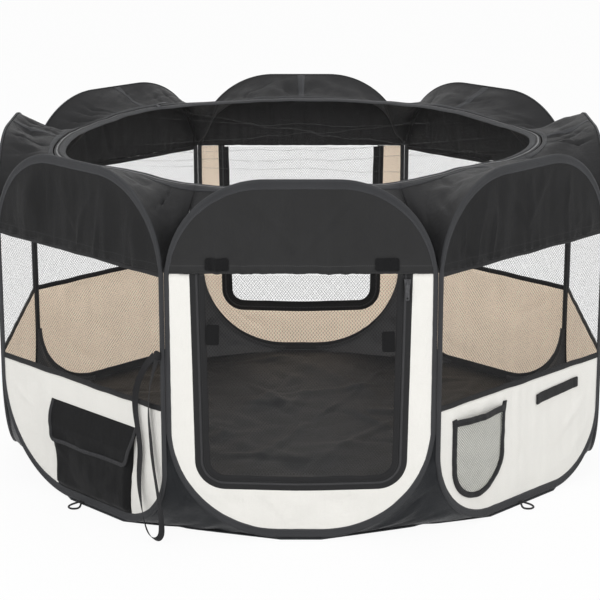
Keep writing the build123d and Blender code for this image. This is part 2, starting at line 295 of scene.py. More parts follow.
@dataclass(frozen=True)
class Hoop:
    """Outline of one sprung hoop."""

    feet: Spot = (0.195, 0.195)          # radii of its bottom corners, left and right
    half: float = 0.229
    foot: float = 0.0035
    top: float = 0.640
    arch_r: float = 0.168

    @cached_property
    def route(self) -> Route:
        """The outline, once round from the middle of its foot."""
        h, (left, right) = self.half, self.feet
        return Route(((0, self.foot, 0), (h, self.foot, right), (h, self.top, self.arch_r),
                      (-h, self.top, self.arch_r), (-h, self.foot, left)), closed=True)

    def corner(self, u: float, z: float) -> tuple[float, float, float] | None:
        """Centre and radius of the round corner that a spot lies in, if it lies in one.

        Args:
            u: Place along the wall.
            z: Height.

        Returns:
            Its middle's u and z and its radius, or None.
        """
        way, foot_r = (-1, self.feet[0]) if u < 0 else (1, self.feet[1])
        if z > self.top - self.arch_r and abs(u) > self.half - self.arch_r:
            return way * (self.half - self.arch_r), self.top - self.arch_r, self.arch_r
        if z < self.foot + foot_r and abs(u) > self.half - foot_r:
            return way * (self.half - foot_r), self.foot + foot_r, foot_r
        return None

    def depth(self, u: float, z: float) -> float:
        """How far inside the outline a spot lies.

        Args:
            u: Place along the wall.
            z: Height.

        Returns:
            The distance, negative outside.
        """
        found = self.corner(u, z)
        if found:
            return found[2] - math.hypot(u - found[0], z - found[1])
        return min(self.half - abs(u), z - self.foot, self.top - z)

    def inward(self, u: float, z: float, by: float) -> Spot:
        """A spot of the outline moved in by a distance.

        Args:
            u: Place along the wall.
            z: Height.
            by: The distance.

        Returns:
            u and z of the moved spot.
        """
        found = self.corner(u, z)
        if found:
            way = Vector((found[0] - u, found[1] - z)).normalized() * by
            return u + way.x, z + way.y
        if min(self.top - z, z - self.foot) < self.half - abs(u):
            return u, z + math.copysign(by, self.top / 2 - z)
        return u - math.copysign(by, u), z

    def distance(self, spot: Vector, way: Vector, inset: float) -> float:
        """Distance from a spot in the hoop to its outline, less an inset all round.

        Args:
            spot: Where the ray starts.
            way: The ray's direction.
            inset: How far inside the outline it ends.

        Returns:
            The distance.
        """
        # Eighteen halvings leave about a thousandth of a millimetre.
        near, far = 0.0, 0.32
        for _ in range(18):
            middle = (near + far) / 2
            there = spot + way * middle
            if self.depth(there.x, there.y) > inset:
                near = middle
            else:
                far = middle
        return near

    def reach(self, way: int, z: float, inset: float = 0.0) -> float:
        """Distance from the middle to one side at height z, less an inset all round.

        Args:
            way: -1 for the left side and 1 for the right.
            z: The height.
            inset: How far inside the outline.

        Returns:
            The distance.
        """
        foot_r = self.feet[0] if way < 0 else self.feet[1]
        for corner_r, off in ((self.arch_r, z - self.top + self.arch_r), (foot_r, self.foot + foot_r - z)):
            if off > 0:
                return self.half - corner_r + math.sqrt(max((corner_r - inset) ** 2 - off ** 2, 0))
        return self.half - inset

    def span(self, z: float, inset: float = 0.0) -> Spot:
        """u of the two sides at height z, less an inset all round."""
        return -self.reach(-1, z, inset), self.reach(1, z, inset)


HOOPS = [Hoop(feet) for feet in FEET]


def run_in(outline: Sequence[Spot], index: int) -> float:
    """How far a point of a closed outline lies from its first point, the shorter way round.

    Args:
        outline: The outline's points.
        index: The point's number.

    Returns:
        The distance.
    """
    runs = [math.dist(a, b) for a, b in zip(outline, [*outline[1:], outline[0]])]
    run = sum(runs[:index])
    return min(run, sum(runs) - run)


# ---- pieces -------------------------------------------------------------------------------------
@dataclass
class Piece:
    """One sewn piece, laid down as patches of grid and closed bands."""

    name: str
    bm: bmesh.types.BMesh = field(default_factory=bmesh.new)

    def patch(self, place: Place, across: int, along: int, look: int = 0) -> list[bmesh.types.BMVert]:
        """Lay one grid through a placing function.

        Args:
            place: Gives the point and the cloth coordinates for shares across and along.
            across: Squares across.
            along: Squares along.
            look: Index of the patch's material.

        Returns:
            The new corners.
        """
        layer = self.bm.loops.layers.uv.get(UV) or self.bm.loops.layers.uv.new(UV)
        made = bmesh.ops.create_grid(self.bm, x_segments=across, y_segments=along, size=0.5)["verts"]
        spots = {}
        for vert in made:
            vert.co, spots[vert] = place(vert.co.x + 0.5, vert.co.y + 0.5)
        for face in {face for vert in made for face in vert.link_faces}:
            face.material_index = look
            face.smooth = True
            for loop in face.loops:
                loop[layer].uv = spots[loop.vert]
        return made

    def tube(self, place: Place, along: int, around: int, ends: bool = True) -> None:
        """Lay one grid whose last side meets its first.

        Args:
            place: Gives the point and the cloth coordinates for shares along and around.
            along: Squares along.
            around: Squares around.
            ends: Whether its two ends are closed.
        """
        made = self.patch(place, along, around)
        bmesh.ops.remove_doubles(self.bm, verts=made, dist=WELD)
        if ends:
            open_edges = [edge for edge in self.bm.edges if edge.is_boundary]
            bmesh.ops.holes_fill(self.bm, edges=open_edges, sides=0)

    def tape(self, wall: Wall, route: Route, section: Section, stations: int) -> None:
        """Lay a closed band of tape along a route on a wall.

        Args:
            wall: The wall it is sewn to.
            route: The line that it follows.
            section: Gives the band's outline at a share of the route, as (inset, n) points.
            stations: Steps along the route.
        """
        ring = len(section(0.0))

        def place(s: float, t: float) -> Corner:
            """One corner of the band.

            Args:
                s: Share along.
                t: Share around.

            Returns:
                The corner.
            """
            spot, out = route.at(s)
            points = section(s)
            inset, n = points[round(t * ring) % ring]
            point = wall.point(spot.x - out.x * inset, n, spot.y - out.y * inset)
            return point, (s * route.length, run_in(points, round(t * ring)))

        self.tube(place, stations, ring, ends=not route.closed)

    def rows(self, wall: Wall, low: float, high: float, span: Span, lift: Callable[[float, float], float],
             across: int, along: int, middle: float = 0.0, tilt: float = 0.0) -> None:
        """Lay one grid in rows of their own width on a wall.

        Args:
            wall: The wall it lies on.
            low: Height of the lowest row.
            high: Height of the highest row.
            span: u of the row's two ends at a height.
            lift: n at u and z.
            across: Squares across.
            along: Squares along.
            middle: u of the patch's middle.
            tilt: Turn of the patch about its centre, in degrees.
        """
        centre, turn = (low + high) / 2, Matrix.Rotation(math.radians(tilt), 2)

        def place(s: float, t: float) -> Corner:
            """One corner of the patch.

            Args:
                s: Share across.
                t: Share along.

            Returns:
                The corner.
            """
            z = low + (high - low) * t
            left, right = span(z)
            u = left + (right - left) * s
            spot = turn @ Vector((u, z - centre))
            return wall.point(middle + spot.x, lift(middle + u, z), centre + spot.y), (u, z)

        self.patch(place, across, along)

    def finish(self, body: str, slot: str, looks: Sequence[bpy.types.Material],
               stands_for: Sequence[str] = (), thick: float = 0.0, closed: bool = False,
               inside: int = 0) -> bpy.types.Object:
        """Turn the patches into one object of the model.

        Args:
            body: CAD body that it moves with.
            slot: The record's material slot. Not used.
            looks: Materials, by index.
            stands_for: CAD nodes that it replaces.
            thick: Thickness given to an open sheet, inward from its face.
            closed: Whether the patches are closed bands, whose faces are turned outward.
            inside: How many materials further on the inside's finish stands.

        Returns:
            The object.
        """
        bmesh.ops.remove_doubles(self.bm, verts=self.bm.verts[:], dist=JOIN)
        if closed:
            bmesh.ops.recalc_face_normals(self.bm, faces=self.bm.faces[:])
        mesh = bpy.data.meshes.new(self.name)
        self.bm.to_mesh(mesh)
        self.bm.free()
        for look in looks:
            mesh.materials.append(look)
        mesh.set_sharp_from_angle(angle=SHARP)
        made = bpy.data.objects.new(self.name, mesh)
        bpy.context.scene.collection.objects.link(made)
        if thick:
            shell = made.modifiers.new("cloth thickness", "SOLIDIFY")
            shell.thickness, shell.offset, shell.material_offset = thick, -1.0, inside
        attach(made, body)
        if stands_for:
            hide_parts(*stands_for)
        log.info("%s: %d faces on %s", self.name, len(mesh.polygons), body)
        return made


def rounded(low: float, high: float, half: float, radius: float) -> Span:
    """Ends by height of a rectangle with rounded corners.

    Args:
        low: Height of its foot.
        high: Height of its top.
        half: Half its width.
        radius: Radius of its corners.

    Returns:
        Function of height that gives the two ends.
    """
    def at(z: float) -> Spot:
        """Its two ends at z.

        Args:
            z: The height.

        Returns:
            u of both ends.
        """
        near = max(radius - min(z - low, high - z), 0.0)
        wide = half - radius + math.sqrt(max(radius ** 2 - near ** 2, 0))
        return -wide, wide
    return at


# ---- finishes -----------------------------------------------------------------------------------
class Tree:
    """Builder of one material's nodes."""

    def __init__(self, name: str) -> None:
        """Start a material with its principled shader.

        Args:
            name: The material's name.
        """
        self.material = bpy.data.materials.new(name)
        self.material.use_nodes = True
        self.tree = self.material.node_tree
        self.shader = self.tree.nodes["Principled BSDF"]

    def join(self, value: object, socket: Socket) -> None:
        """Give a socket a value or a link.

        Args:
            value: Number, colour or output.
            socket: Input that gets it.
        """
        if isinstance(value, Socket):
            self.tree.links.new(value, socket)
        else:
            socket.default_value = value

    def set(self, **inputs: object) -> None:
        """Set the shader's sockets, named with underscores for spaces."""
        for name, value in inputs.items():
            self.join(value, self.shader.inputs[name.replace("_", " ")])

    def node(self, kind: str, settings: dict[str, object] | None = None, **inputs: object) -> bpy.types.Node:
        """Add a node.

        Args:
            kind: The node's type, without its prefix.
            settings: Properties of the node.
            inputs: Values or links for its sockets.

        Returns:
            The node.
        """
        made = self.tree.nodes.new(f"ShaderNode{kind}")
        for name, value in (settings or {}).items():
            setattr(made, name, value)
        for name, value in inputs.items():
            self.join(value, made.inputs[name.replace("_", " ")])
        return made

    def sum(self, kind: str, *values: object) -> Socket:
        """Result of one sum on numbers or sockets.

        Args:
            kind: The sum, as the Math node names it.
            values: Numbers or outputs, in order.

        Returns:
            The result.
        """
        made = self.node("Math", {"operation": kind})
        for value, socket in zip(values, made.inputs):
            self.join(value, socket)
        return made.outputs[0]

    def cloth(self) -> tuple[Socket, Socket]:
        """The piece's own cloth coordinates, along and across, in metres."""
        parts = self.node("SeparateXYZ", Vector=self.node("UVMap", {"uv_map": UV}).outputs[0])
        return parts.outputs[0], parts.outputs[1]

    def patchy(self, scale: float, detail: float = 3.0) -> Socket:
        """Uneven field from 0 to 1 over the object."""
        place = self.node("TexCoord").outputs["Object"]
        return self.node("TexNoise", Vector=place, Scale=scale, Detail=detail, Roughness=0.6).outputs[0]

    def stretched(self, across: float, along: float) -> Socket:
        """Uneven field over the cloth coordinates, finer one way than the other.

        Args:
            across: How fine it is along the first coordinate.
            along: How fine it is along the second.

        Returns:
            The field, from 0 to 1.
        """
        cloth = self.node("UVMap", {"uv_map": UV}).outputs[0]
        place = self.node("Mapping", Vector=cloth, Scale=(across, along, 1.0)).outputs[0]
        return self.node("TexNoise", Vector=place, Scale=1.0, Detail=2.0, Roughness=0.5).outputs[0]

    def mix(self, share: object, one: object, two: object) -> Socket:
        """Colour between two colours.

        Args:
            share: How much of the second.
            one: First colour.
            two: Second colour.

        Returns:
            The mixed colour.
        """
        made = self.node("Mix", {"data_type": "RGBA"})
        for value, index in ((share, 0), (one, 6), (two, 7)):
            self.join(value, made.inputs[index])
        return made.outputs[2]

    def ramp(self, value: object, low: float, high: float) -> Socket:
        """Value stretched so that low to high becomes 0 to 1, and held there."""
        return self.node("MapRange", Value=value, From_Min=low, From_Max=high).outputs[0]

    def ribs(self, coordinate: object, pitch: float) -> Socket:
        """Wave of a given pitch along a coordinate."""
        return self.sum("SINE", self.sum("MULTIPLY", coordinate, 2 * math.pi / pitch))

    def stitches(self, along: object, across: object, row: float, pitch: float = 0.0036) -> Socket:
        """Where a row of stitches lies, 0 or 1.

        Args:
            along: Coordinate along the seam.
            across: Coordinate across it.
            row: Where across it the row runs.
            pitch: Length of one stitch and its gap.

        Returns:
            The mask.
        """
        half_thick, sewn_share = 0.00042, 0.72
        off = self.sum("ABSOLUTE", self.sum("SUBTRACT", across, row))
        step = self.sum("FRACT", self.sum("DIVIDE", along, pitch))
        near = self.sum("LESS_THAN", off, half_thick)
        return self.sum("MULTIPLY", near, self.sum("LESS_THAN", step, sewn_share))

    def bump(self, height: object, depth: float, under: object = None) -> Socket:
        """Normal of a height field that is depth metres deep.

        Args:
            height: The field, from 0 to 1.
            depth: Its depth in metres.
            under: Normal that it lies on.

        Returns:
            The normal.
        """
        made = self.node("Bump", Strength=1.0, Distance=depth, Height=height)
        if under is not None:
            self.join(under, made.inputs["Normal"])
        return made.outputs[0]


@dataclass(frozen=True)
class Finish:
    """A surface finish. Each kind writes its own nodes."""

    name: str
    colour: tuple[float, float, float]

    def paint(self, tree: Tree) -> None:
        """Write the nodes of this finish."""
        raise NotImplementedError

    @property
    def material(self) -> bpy.types.Material:
        """The finish's material, made once."""
        found = bpy.data.materials.get(self.name)
        if found is None:
            tree = Tree(self.name)
            self.paint(tree)
            found = tree.material
            found.diffuse_color = (*self.colour, 1)
        return found

    def shade(self, by: float) -> tuple[float, float, float, float]:
        """The colour, lighter or darker."""
        return (*(min(c * by, 1.0) for c in self.colour), 1.0)


@dataclass(frozen=True)
class OxfordCloth(Finish):
    """Plain oxford weave with a dull coating."""

    thread: float = 0.0011
    dull: float = 0.62
    sheen: float = 0.03
    gloss: float = 0.14
    uneven: float = 0.12
    drawn: float = 0.0004        # depth of the fine ripples that run up and down it
    glow: float = 0.0            # painted glow, given off in place of light that comes through from its other side
    rows: tuple[float, ...] = ()     # heights of the rows of stitches along it

    def paint(self, tree: Tree) -> None:
        """Write the nodes of this finish.

        Args:
            tree: The material's nodes.
        """
        u, z = tree.cloth()
        weave = tree.sum("MULTIPLY", tree.ribs(u, self.thread), tree.ribs(z, self.thread))
        broad, fine = tree.sum("ADD", tree.patchy(7.0), tree.stretched(26.0, 1.5)), tree.patchy(900.0, 2.0)
        tone = tree.mix(tree.ramp(broad, 0.7, 1.3), self.shade(1 - self.uneven), self.shade(1 + self.uneven))
        thread = tree.mix(tree.ramp(weave, -1, 1), self.shade(0.82), self.shade(1.14))
        tone = tree.mix(0.45, tone, thread)
        for row in self.rows:
            tone = tree.mix(tree.sum("MULTIPLY", tree.stitches(u, z, row), 0.8), tone, self.shade(2.6))
        tree.set(Base_Color=tone, Roughness=tree.ramp(fine, -0.6, 2.2 - self.dull),
                 Sheen_Weight=self.sheen, Sheen_Roughness=0.45, Specular_IOR_Level=self.gloss)
        # Painted glow: the cloth gives off its own colour, standing in for the light that comes through it.
        if self.glow:
            tree.set(Emission_Color=self.shade(1.0), Emission_Strength=self.glow)
        ripples = tree.bump(tree.stretched(95.0, 9.0), self.drawn)
        crumple = tree.bump(tree.patchy(38.0, 4.0), 0.0018, ripples)
        tree.set(Normal=tree.bump(weave, 0.00009, crumple))


@dataclass(frozen=True)
class Net(Finish):
    """Knitted net of six-sided holes, seen through between its threads."""

    pitch: float = 0.0048
    share: float = 0.11          # width of a thread, as a share of the pitch

    def paint(self, tree: Tree) -> None:
        """Write the nodes of this finish.

        Args:
            tree: The material's nodes.
        """
        u, z = tree.cloth()
        weave = tree.sum("MULTIPLY", tree.ribs(z, self.pitch * 1.25), 0.25)
        step = tree.sum("DIVIDE", u, self.pitch)
        threads = []
        for start, way in ((0.0, "ADD"), (0.5, "SUBTRACT")):
            here = tree.sum("FRACT", tree.sum(way, tree.sum("ADD", step, start + 100), weave))
            off = tree.sum("ABSOLUTE", tree.sum("SUBTRACT", here, 0.5))
            threads.append(tree.sum("SUBTRACT", 1.0, tree.ramp(off, self.share * 0.42, self.share * 0.62)))
        there = tree.sum("MAXIMUM", *threads)
        tone = tree.mix(tree.ramp(tree.patchy(30.0), 0.3, 0.7), self.shade(0.8), self.shade(1.25))
        tree.set(Base_Color=tone, Alpha=there, Roughness=0.6, Sheen_Weight=0.04, Specular_IOR_Level=0.15)
        tree.set(Normal=tree.bump(there, 0.0003))


@dataclass(frozen=True)
class BindingTape(Finish):
    """Ribbed tape with a row of stitches along its edge, and a painted highlight along one edge."""

    row: float = 0.0026          # the stitches' distance from the tape's edge
    rib: float = 0.0013
    dull: float = 0.6

    def paint(self, tree: Tree) -> None:
        """Write the nodes of this finish.

        Args:
            tree: The material's nodes.
        """
        along, across = tree.cloth()
        rib, sewn = tree.ribs(along, self.rib), tree.stitches(along, across, self.row)
        tone = tree.mix(tree.ramp(tree.patchy(14.0), 0.3, 0.7), self.shade(0.86), self.shade(1.14))
        ribbed = tree.mix(tree.ramp(rib, -1, 1), self.shade(0.86), self.shade(1.1))
        # Painted highlight: the tape is drawn up to twice as light along the edge where its across
        # coordinate starts, as if that folded edge caught the light.
        edge = tree.ramp(across, 0.0018, 0.0004)
        wear_and_highlight = tree.mix(tree.sum("MULTIPLY", edge, 0.7), tree.mix(0.5, tone, ribbed), self.shade(2.0))
        tone = tree.mix(tree.sum("MULTIPLY", sewn, 0.7), wear_and_highlight, self.shade(1.9))
        tree.set(Base_Color=tone, Roughness=self.dull, Sheen_Weight=0.04, Sheen_Roughness=0.4,
                 Specular_IOR_Level=0.18)
        pucker = tree.bump(tree.patchy(110.0, 3.0), 0.0008)
        tree.set(Normal=tree.bump(sewn, 0.0003, tree.bump(rib, 0.00012, pucker)))


@dataclass(frozen=True)
class ZipTape(Finish):
    """Twill zip tape with its coil of teeth at a given distance from its edge, the coil drawn lighter as a
    painted highlight.
    """

    coil: float = 0.012
    # How many times lighter than the tape its coil is drawn: a painted highlight.
    coil_highlight: float = 1.6

    def paint(self, tree: Tree) -> None:
        """Write the nodes of this finish.

        Args:
            tree: The material's nodes.
        """
        along, across = tree.cloth()
        twill = tree.ribs(tree.sum("ADD", along, across), 0.0012)
        near = tree.ramp(tree.sum("ABSOLUTE", tree.sum("SUBTRACT", across, self.coil)), 0.0022, 0.0012)
        teeth = tree.sum("MULTIPLY", tree.ramp(tree.ribs(along, 0.0017), -0.5, 0.5), near)
        sewn = tree.stitches(along, across, 0.0022)
        tone = tree.mix(tree.ramp(twill, -1, 1), self.shade(0.8), self.shade(1.1))
        tone = tree.mix(tree.sum("MULTIPLY", sewn, 0.6), tone, self.shade(1.7))
        # The coil's teeth take the painted highlight colour.
        tree.set(Base_Color=tree.mix(teeth, tone, self.shade(self.coil_highlight)),
                 Roughness=tree.ramp(near, 1.75, -0.9), Specular_IOR_Level=0.25)
        pucker = tree.bump(tree.patchy(90.0, 3.0), 0.0007)
        tree.set(Normal=tree.bump(teeth, 0.0006, tree.bump(twill, 0.0001, pucker)))


@dataclass(frozen=True)
class HookTape(Finish):
    """Hook tape: short stiff hooks in rows."""

    def paint(self, tree: Tree) -> None:
        """Write the nodes of this finish.

        Args:
            tree: The material's nodes.
        """
        u, z = tree.cloth()
        hooks = tree.sum("MULTIPLY", tree.ribs(u, 0.0016), tree.ribs(z, 0.0013))
        tone = tree.mix(tree.ramp(hooks, -0.4, 0.9), self.shade(0.55), self.shade(1.5))
        tree.set(Base_Color=tree.mix(tree.patchy(60.0), tone, self.shade(0.9)), Roughness=0.8,
                 Specular_IOR_Level=0.12, Sheen_Weight=0.03)
        tree.set(Normal=tree.bump(hooks, 0.0005))


@dataclass(frozen=True)
class Webbing(Finish):
    """Woven webbing with a chevron down its length."""

    rib: float = 0.0021

    def paint(self, tree: Tree) -> None:
        """Write the nodes of this finish.

        Args:
            tree: The material's nodes.
        """
        along, across = tree.cloth()
        slant = tree.sum("ADD", along, tree.sum("ABSOLUTE", across))
        rib = tree.ribs(slant, self.rib)
        tone = tree.mix(tree.ramp(rib, -1, 1), self.shade(0.75), self.shade(1.25))
        tree.set(Base_Color=tree.mix(tree.patchy(25.0), tone, self.shade(1.05)), Roughness=0.6,
                 Sheen_Weight=0.04, Specular_IOR_Level=0.15)
        tree.set(Normal=tree.bump(rib, 0.0003))


@dataclass(frozen=True)
class Metal(Finish):
    """Plated zip metal or drawn spring wire."""

    dull: float = 0.32

    def paint(self, tree: Tree) -> None:
        """Write the nodes of this finish.

        Args:
            tree: The material's nodes.
        """
        wear_and_highlight = tree.patchy(160.0)
        tone = tree.mix(tree.ramp(wear_and_highlight, 0.35, 0.7), self.shade(0.8), self.shade(1.3))
        tree.set(Base_Color=tone, Metallic=1.0, Roughness=tree.ramp(wear_and_highlight, -0.9, 2.3 - self.dull))
        tree.set(Normal=tree.bump(tree.patchy(700.0), 0.00006))


HEM_ROWS = (BAND_Z + 0.0016, BAND_Z + 0.0135)
BAND = OxfordCloth("black oxford", (0.0185, 0.0185, 0.019), sheen=0.01, gloss=0.08, uneven=0.2,
                   rows=HEM_ROWS)
# Inside of the bands: the same black oxford, painted lighter to make up for the shade inside the pen.
LINING = OxfordCloth("inside of the black oxford, painted lighter", (0.028, 0.028, 0.029), sheen=0.015, gloss=0.10)
# Bands of the two door walls: the same black oxford as the others, painted lighter because the front faces
# the light more than its neighbours.
DOOR_BAND = OxfordCloth("doubled black oxford", (0.0275, 0.0275, 0.028), sheen=0.015, gloss=0.10,
                        rows=HEM_ROWS)
EAVE = OxfordCloth("eave oxford", (0.0245, 0.0245, 0.0255), gloss=0.11, drawn=0.0006)
MAT = OxfordCloth("floor oxford", (0.0105, 0.0120, 0.0145), dull=0.54, gloss=0.27)
# Inside of the corner sails: the same floor cloth, painted far lighter to make up for the shade inside the
# pen.
SAIL_BACK = OxfordCloth("inside of the floor oxford, painted lighter", (0.072, 0.074, 0.079), dull=0.6, gloss=0.18)
CREAM = OxfordCloth("cream oxford", (0.82, 0.807, 0.767), dull=0.72, uneven=0.035, drawn=0.0005)
# Tan of the coated inside face, set lighter than the coating alone and given a painted glow, in place of the
# light that comes through the cream cloth into the pen.
TAN = OxfordCloth("tan coating", (0.80, 0.67, 0.535), dull=0.66, uneven=0.12, glow=0.39)
POCKET = OxfordCloth("pocket oxford", (0.0095, 0.0095, 0.010), sheen=0.01, gloss=0.08, uneven=0.2)
BLACK_NET = Net("black net", (0.017, 0.017, 0.018), pitch=0.0055, share=0.082)
LID_NET = Net("lid net", (0.026, 0.026, 0.027), share=0.058)
PLEAT = Net("doubled lid net", (0.016, 0.016, 0.017), share=0.40)
PALE_NET = Net("pale net", (0.37, 0.375, 0.34), pitch=0.0044, share=0.27)
BINDING = BindingTape("binding tape", (0.039, 0.040, 0.043))
FLAP_TAPE = BindingTape("flap binding tape", (0.026, 0.026, 0.028))
TRIM = BindingTape("seam tape", (0.0165, 0.0165, 0.0175), row=0.0020)
# The coils of both zips are drawn far lighter than their tape, a painted highlight.
DOOR_TAPE = ZipTape("door zip tape", (0.017, 0.017, 0.018), coil_highlight=5.0)
LID_TAPE = ZipTape("lid zip tape", (0.036, 0.036, 0.037), coil=0.0068, coil_highlight=10.0)
HOOKS = HookTape("hook tape", (0.0155, 0.0155, 0.0165))
STRAP = Webbing("black webbing", (0.022, 0.022, 0.023))
RIBBON = Webbing("tie ribbon weave", (0.022, 0.022, 0.024), rib=0.0015)
CORD = Webbing("peg cord", (0.03, 0.03, 0.031), rib=0.003)
SLIDER = Metal("zip slider metal", (0.10, 0.10, 0.105))
WIRE = Metal("spring wire", (0.42, 0.42, 0.44), dull=0.4)


def dress(name: str, finish: Finish) -> None:
    """Give a CAD node that stays as it is its finish.

    Args:
        name: The node.
        finish: Its finish.
    """
    node = bpy.data.objects[name]
    node.data.materials.clear()
    node.data.materials.append(finish.material)


# ---- walls --------------------------------------------------------------------------------------
# What is sewn on holds the cloth below it flat: the share taken off, then the left, right, low and high
# ends of each place. On the front left wall this also leaves the lifted flap its room.
SEWN_ON = {
    Wall.FRONT_LEFT: ((0.97, -0.14, 0.22, 0.07, 0.30),),
    Wall.FRONT_RIGHT: ((0.85, 0.005, 0.205, 0.140, 0.260), (0.60, -0.215, -0.015, 0.040, 0.240)),
}


@dataclass
class SprungWall:
    """One wall: a hoop in its binding, with a band, a window and a lower panel sewn in it."""

    wall: Wall
    tuck: float = 0.0053             # how far inside the hoop's outline the cloth ends
    billow: float = 0.0030           # how far its broad swells stand off the plane

    @property
    def seed(self) -> float:
        """Number that sets this wall's folds apart."""
        return self.wall.value + 1.0

    @property
    def hoop(self) -> Hoop:
        """The outline of this wall's hoop."""
        return HOOPS[self.wall.value]

    def build(self) -> None:
        """Make every piece of the wall."""
        self.binding()
        self.band()
        self.below()
        dress(f"{self.wall.label}_hoop_wire", WIRE)

    def slack(self, u: float, z: float) -> float:
        """How free the cloth is to stand off its plane, 0 at the hoop and 1 well inside it."""
        return smooth((self.hoop.depth(u, z) - 0.010) / 0.045)

    def binding(self) -> None:
        """Tape folded round the wire, wide over the arch and the foot, with its ends lapped at the foot."""
        route = self.hoop.route

        def section(share: float) -> list[Spot]:
            """Outline of the sleeve at a share of the way round.

            Args:
                share: Share of the route.

            Returns:
                Points of (inset, n).
            """
            spot, out = route.at(share)
            wide = 0.0098 - 0.0030 * abs(out.x) + 0.0066 * abs(out.y)
            wide += 0.0006 * uneven(spot.x * 60, spot.y * 60, self.seed)
            lap = 0.0007 * smooth((0.020 - abs(((share + 0.5) % 1 - 0.5) * route.length - 0.006)) / 0.002)
            ripple = 0.0004 * uneven(spot.x * 75, spot.y * 75, self.seed + 9)
            flat_o, flat_i = 0.0045 + lap + ripple, 0.0015 - ripple * 0.5
            bead = 0.0057 + lap
            seam = -0.00195 * smooth((abs(out.x) - 0.990) / 0.009)
            middle = wide * 0.62 + 0.0022
            return [(wide, flat_o - 0.0006), (wide - 0.0006, flat_o), (middle, flat_o + 0.0001),
                    (0.0066, flat_o), (0.0054, bead - 0.0005), (0.0035, bead), (0.0016, bead - 0.0007),
                    (0.0003, 0.0043), (0.0, 0.0030), (seam, 0.0017), (seam, 0.0004), (0.0035, 0.0003),
                    (0.0054, 0.0007), (0.0066, flat_i), (middle, flat_i), (wide - 0.0006, flat_i),
                    (wide, flat_i + 0.0006)]

        piece = Piece(f"{self.wall.label}_hoop_sleeve")
        piece.tape(self.wall, route, section, 190)
        piece.finish(self.wall.body, "binding_tape", [BINDING.material], [f"{self.wall.label}_binding"],
                     closed=True)

    def band_face(self, u: float, z: float) -> float:
        """n of the upper band's face, puckered along its hem.

        Args:
            u: Place along the wall.
            z: Height.

        Returns:
            The distance n.
        """
        door = self.wall.has_door
        hem = 0.0007 * smooth((BAND_Z + 0.0155 - z) / 0.001)
        pull = math.exp(-(z - BAND_Z) / 0.038)
        pucker = (0.0052 if door else 0.0024) * pull * swell(u, z, self.seed + 3, 0.014, 0.20)
        folds = (0.0030 if door else 0.0052) * crease(u, z, self.seed + 5, 86, 0.050, 0.34)
        folds *= 1 - 0.4 * pull
        slant = 0.0030 * crease(abs(u), z, self.seed + 6, 55, 0.07, 0.26)
        hung = (0.0012 if door else 0.0034) * swell(u, z, self.seed + 7, 0.045, 0.30)
        ease = self.billow * swell(u, z, self.seed, 0.15, 0.12) + pucker + folds + slant + hung
        near = 1 - smooth((z - BAND_Z) / 0.03)
        return FACE_N + hem + self.slack(u, z) * (ease * (1 - near) + abs(ease) * near)

    def panel_face(self, u: float, z: float) -> float:
        """n of the lower panel's face, gathered a little under its window.

        Args:
            u: Place along the wall.
            z: Height.

        Returns:
            The distance n.
        """
        folds = 0.0032 * crease(u, z, self.seed + 30, math.copysign(38, u), 0.085, 0.30)
        fine = 0.0007 * swell(u, z, self.seed + 31, 0.030, 0.05)
        pull = 0.0042 if self.wall is Wall.FRONT_RIGHT else 0.0022
        gather = pull * math.exp(-(SILL_Z - z) / 0.10) * swell(u, z, self.seed + 33, 0.022, 0.30)
        ease = self.billow * swell(u, z, self.seed + 32, 0.14, 0.1) + folds + fine + gather
        for share, left, right, low, high in SEWN_ON.get(self.wall, ()):
            ease *= 1 - share * (smooth((u - left) / 0.05) * smooth((right - u) / 0.05)
                                 * smooth((z - low) / 0.05) * smooth((high - z) / 0.05))
        return FACE_N + self.slack(u, z) * smooth((SILL_Z - z) / 0.012) * ease

    def ends(self, z: float) -> Spot:
        """u of the two ends of the wall's cloth at height z."""
        return self.hoop.span(z, self.tuck)

    def band(self) -> None:
        """Upper band under the arch, with a doubled hem along its lower edge."""
        piece, top = Piece(f"{self.wall.label}_band_cloth"), 0.6345
        piece.rows(self.wall, BAND_Z, top, self.ends, self.band_face, 96, 28)
        looks = [(DOOR_BAND if self.wall.has_door else BAND).material, LINING.material]
        made = piece.finish(self.wall.body, "black_oxford", looks, [f"{self.wall.label}_upper_band"], CLOTH,
                            inside=1)

    def below(self) -> None:
        """Window, lower panel and the tape over their two seams."""
        label = self.wall.label

        def net(u: float, z: float) -> float:
            """n of the window's net.

            Args:
                u: Place along the wall.
                z: Height.

            Returns:
                The distance n.
            """
            free = self.slack(u, z) * smooth((BAND_Z - z) / 0.06) * smooth((z - SILL_Z) / 0.05)
            hung, fold = swell(u, z, self.seed + 20, 0.16, 0.2), crease(u, z, self.seed, 62, 0.1, 0.4)
            return 0.0030 + free * (0.0030 * hung + 0.0016 * fold)

        window = Piece(f"{label}_window_net")
        window.rows(self.wall, SILL_Z, BAND_Z, self.ends, net, 56, 30)
        made = window.finish(self.wall.body, "black_net", [BLACK_NET.material], [f"{label}_mesh_window"])
        panel, foot = Piece(f"{label}_panel_cloth"), 0.0092
        panel.rows(self.wall, foot, SILL_Z, self.ends, self.panel_face, 72, 36)
        looks = [CREAM.material, TAN.material]
        made = panel.finish(self.wall.body, "cream_oxford", looks, [f"{label}_lower_panel"], CLOTH, inside=1)
        tapes = Piece(f"{label}_window_tapes")
        self.seam_tape(tapes, low=BAND_Z - 0.0078, wide=0.0088)
        self.seam_tape(tapes, low=SILL_Z - 0.0008, wide=0.0098)
        tapes.finish(self.wall.body, "binding_tape", [TRIM.material], closed=True)

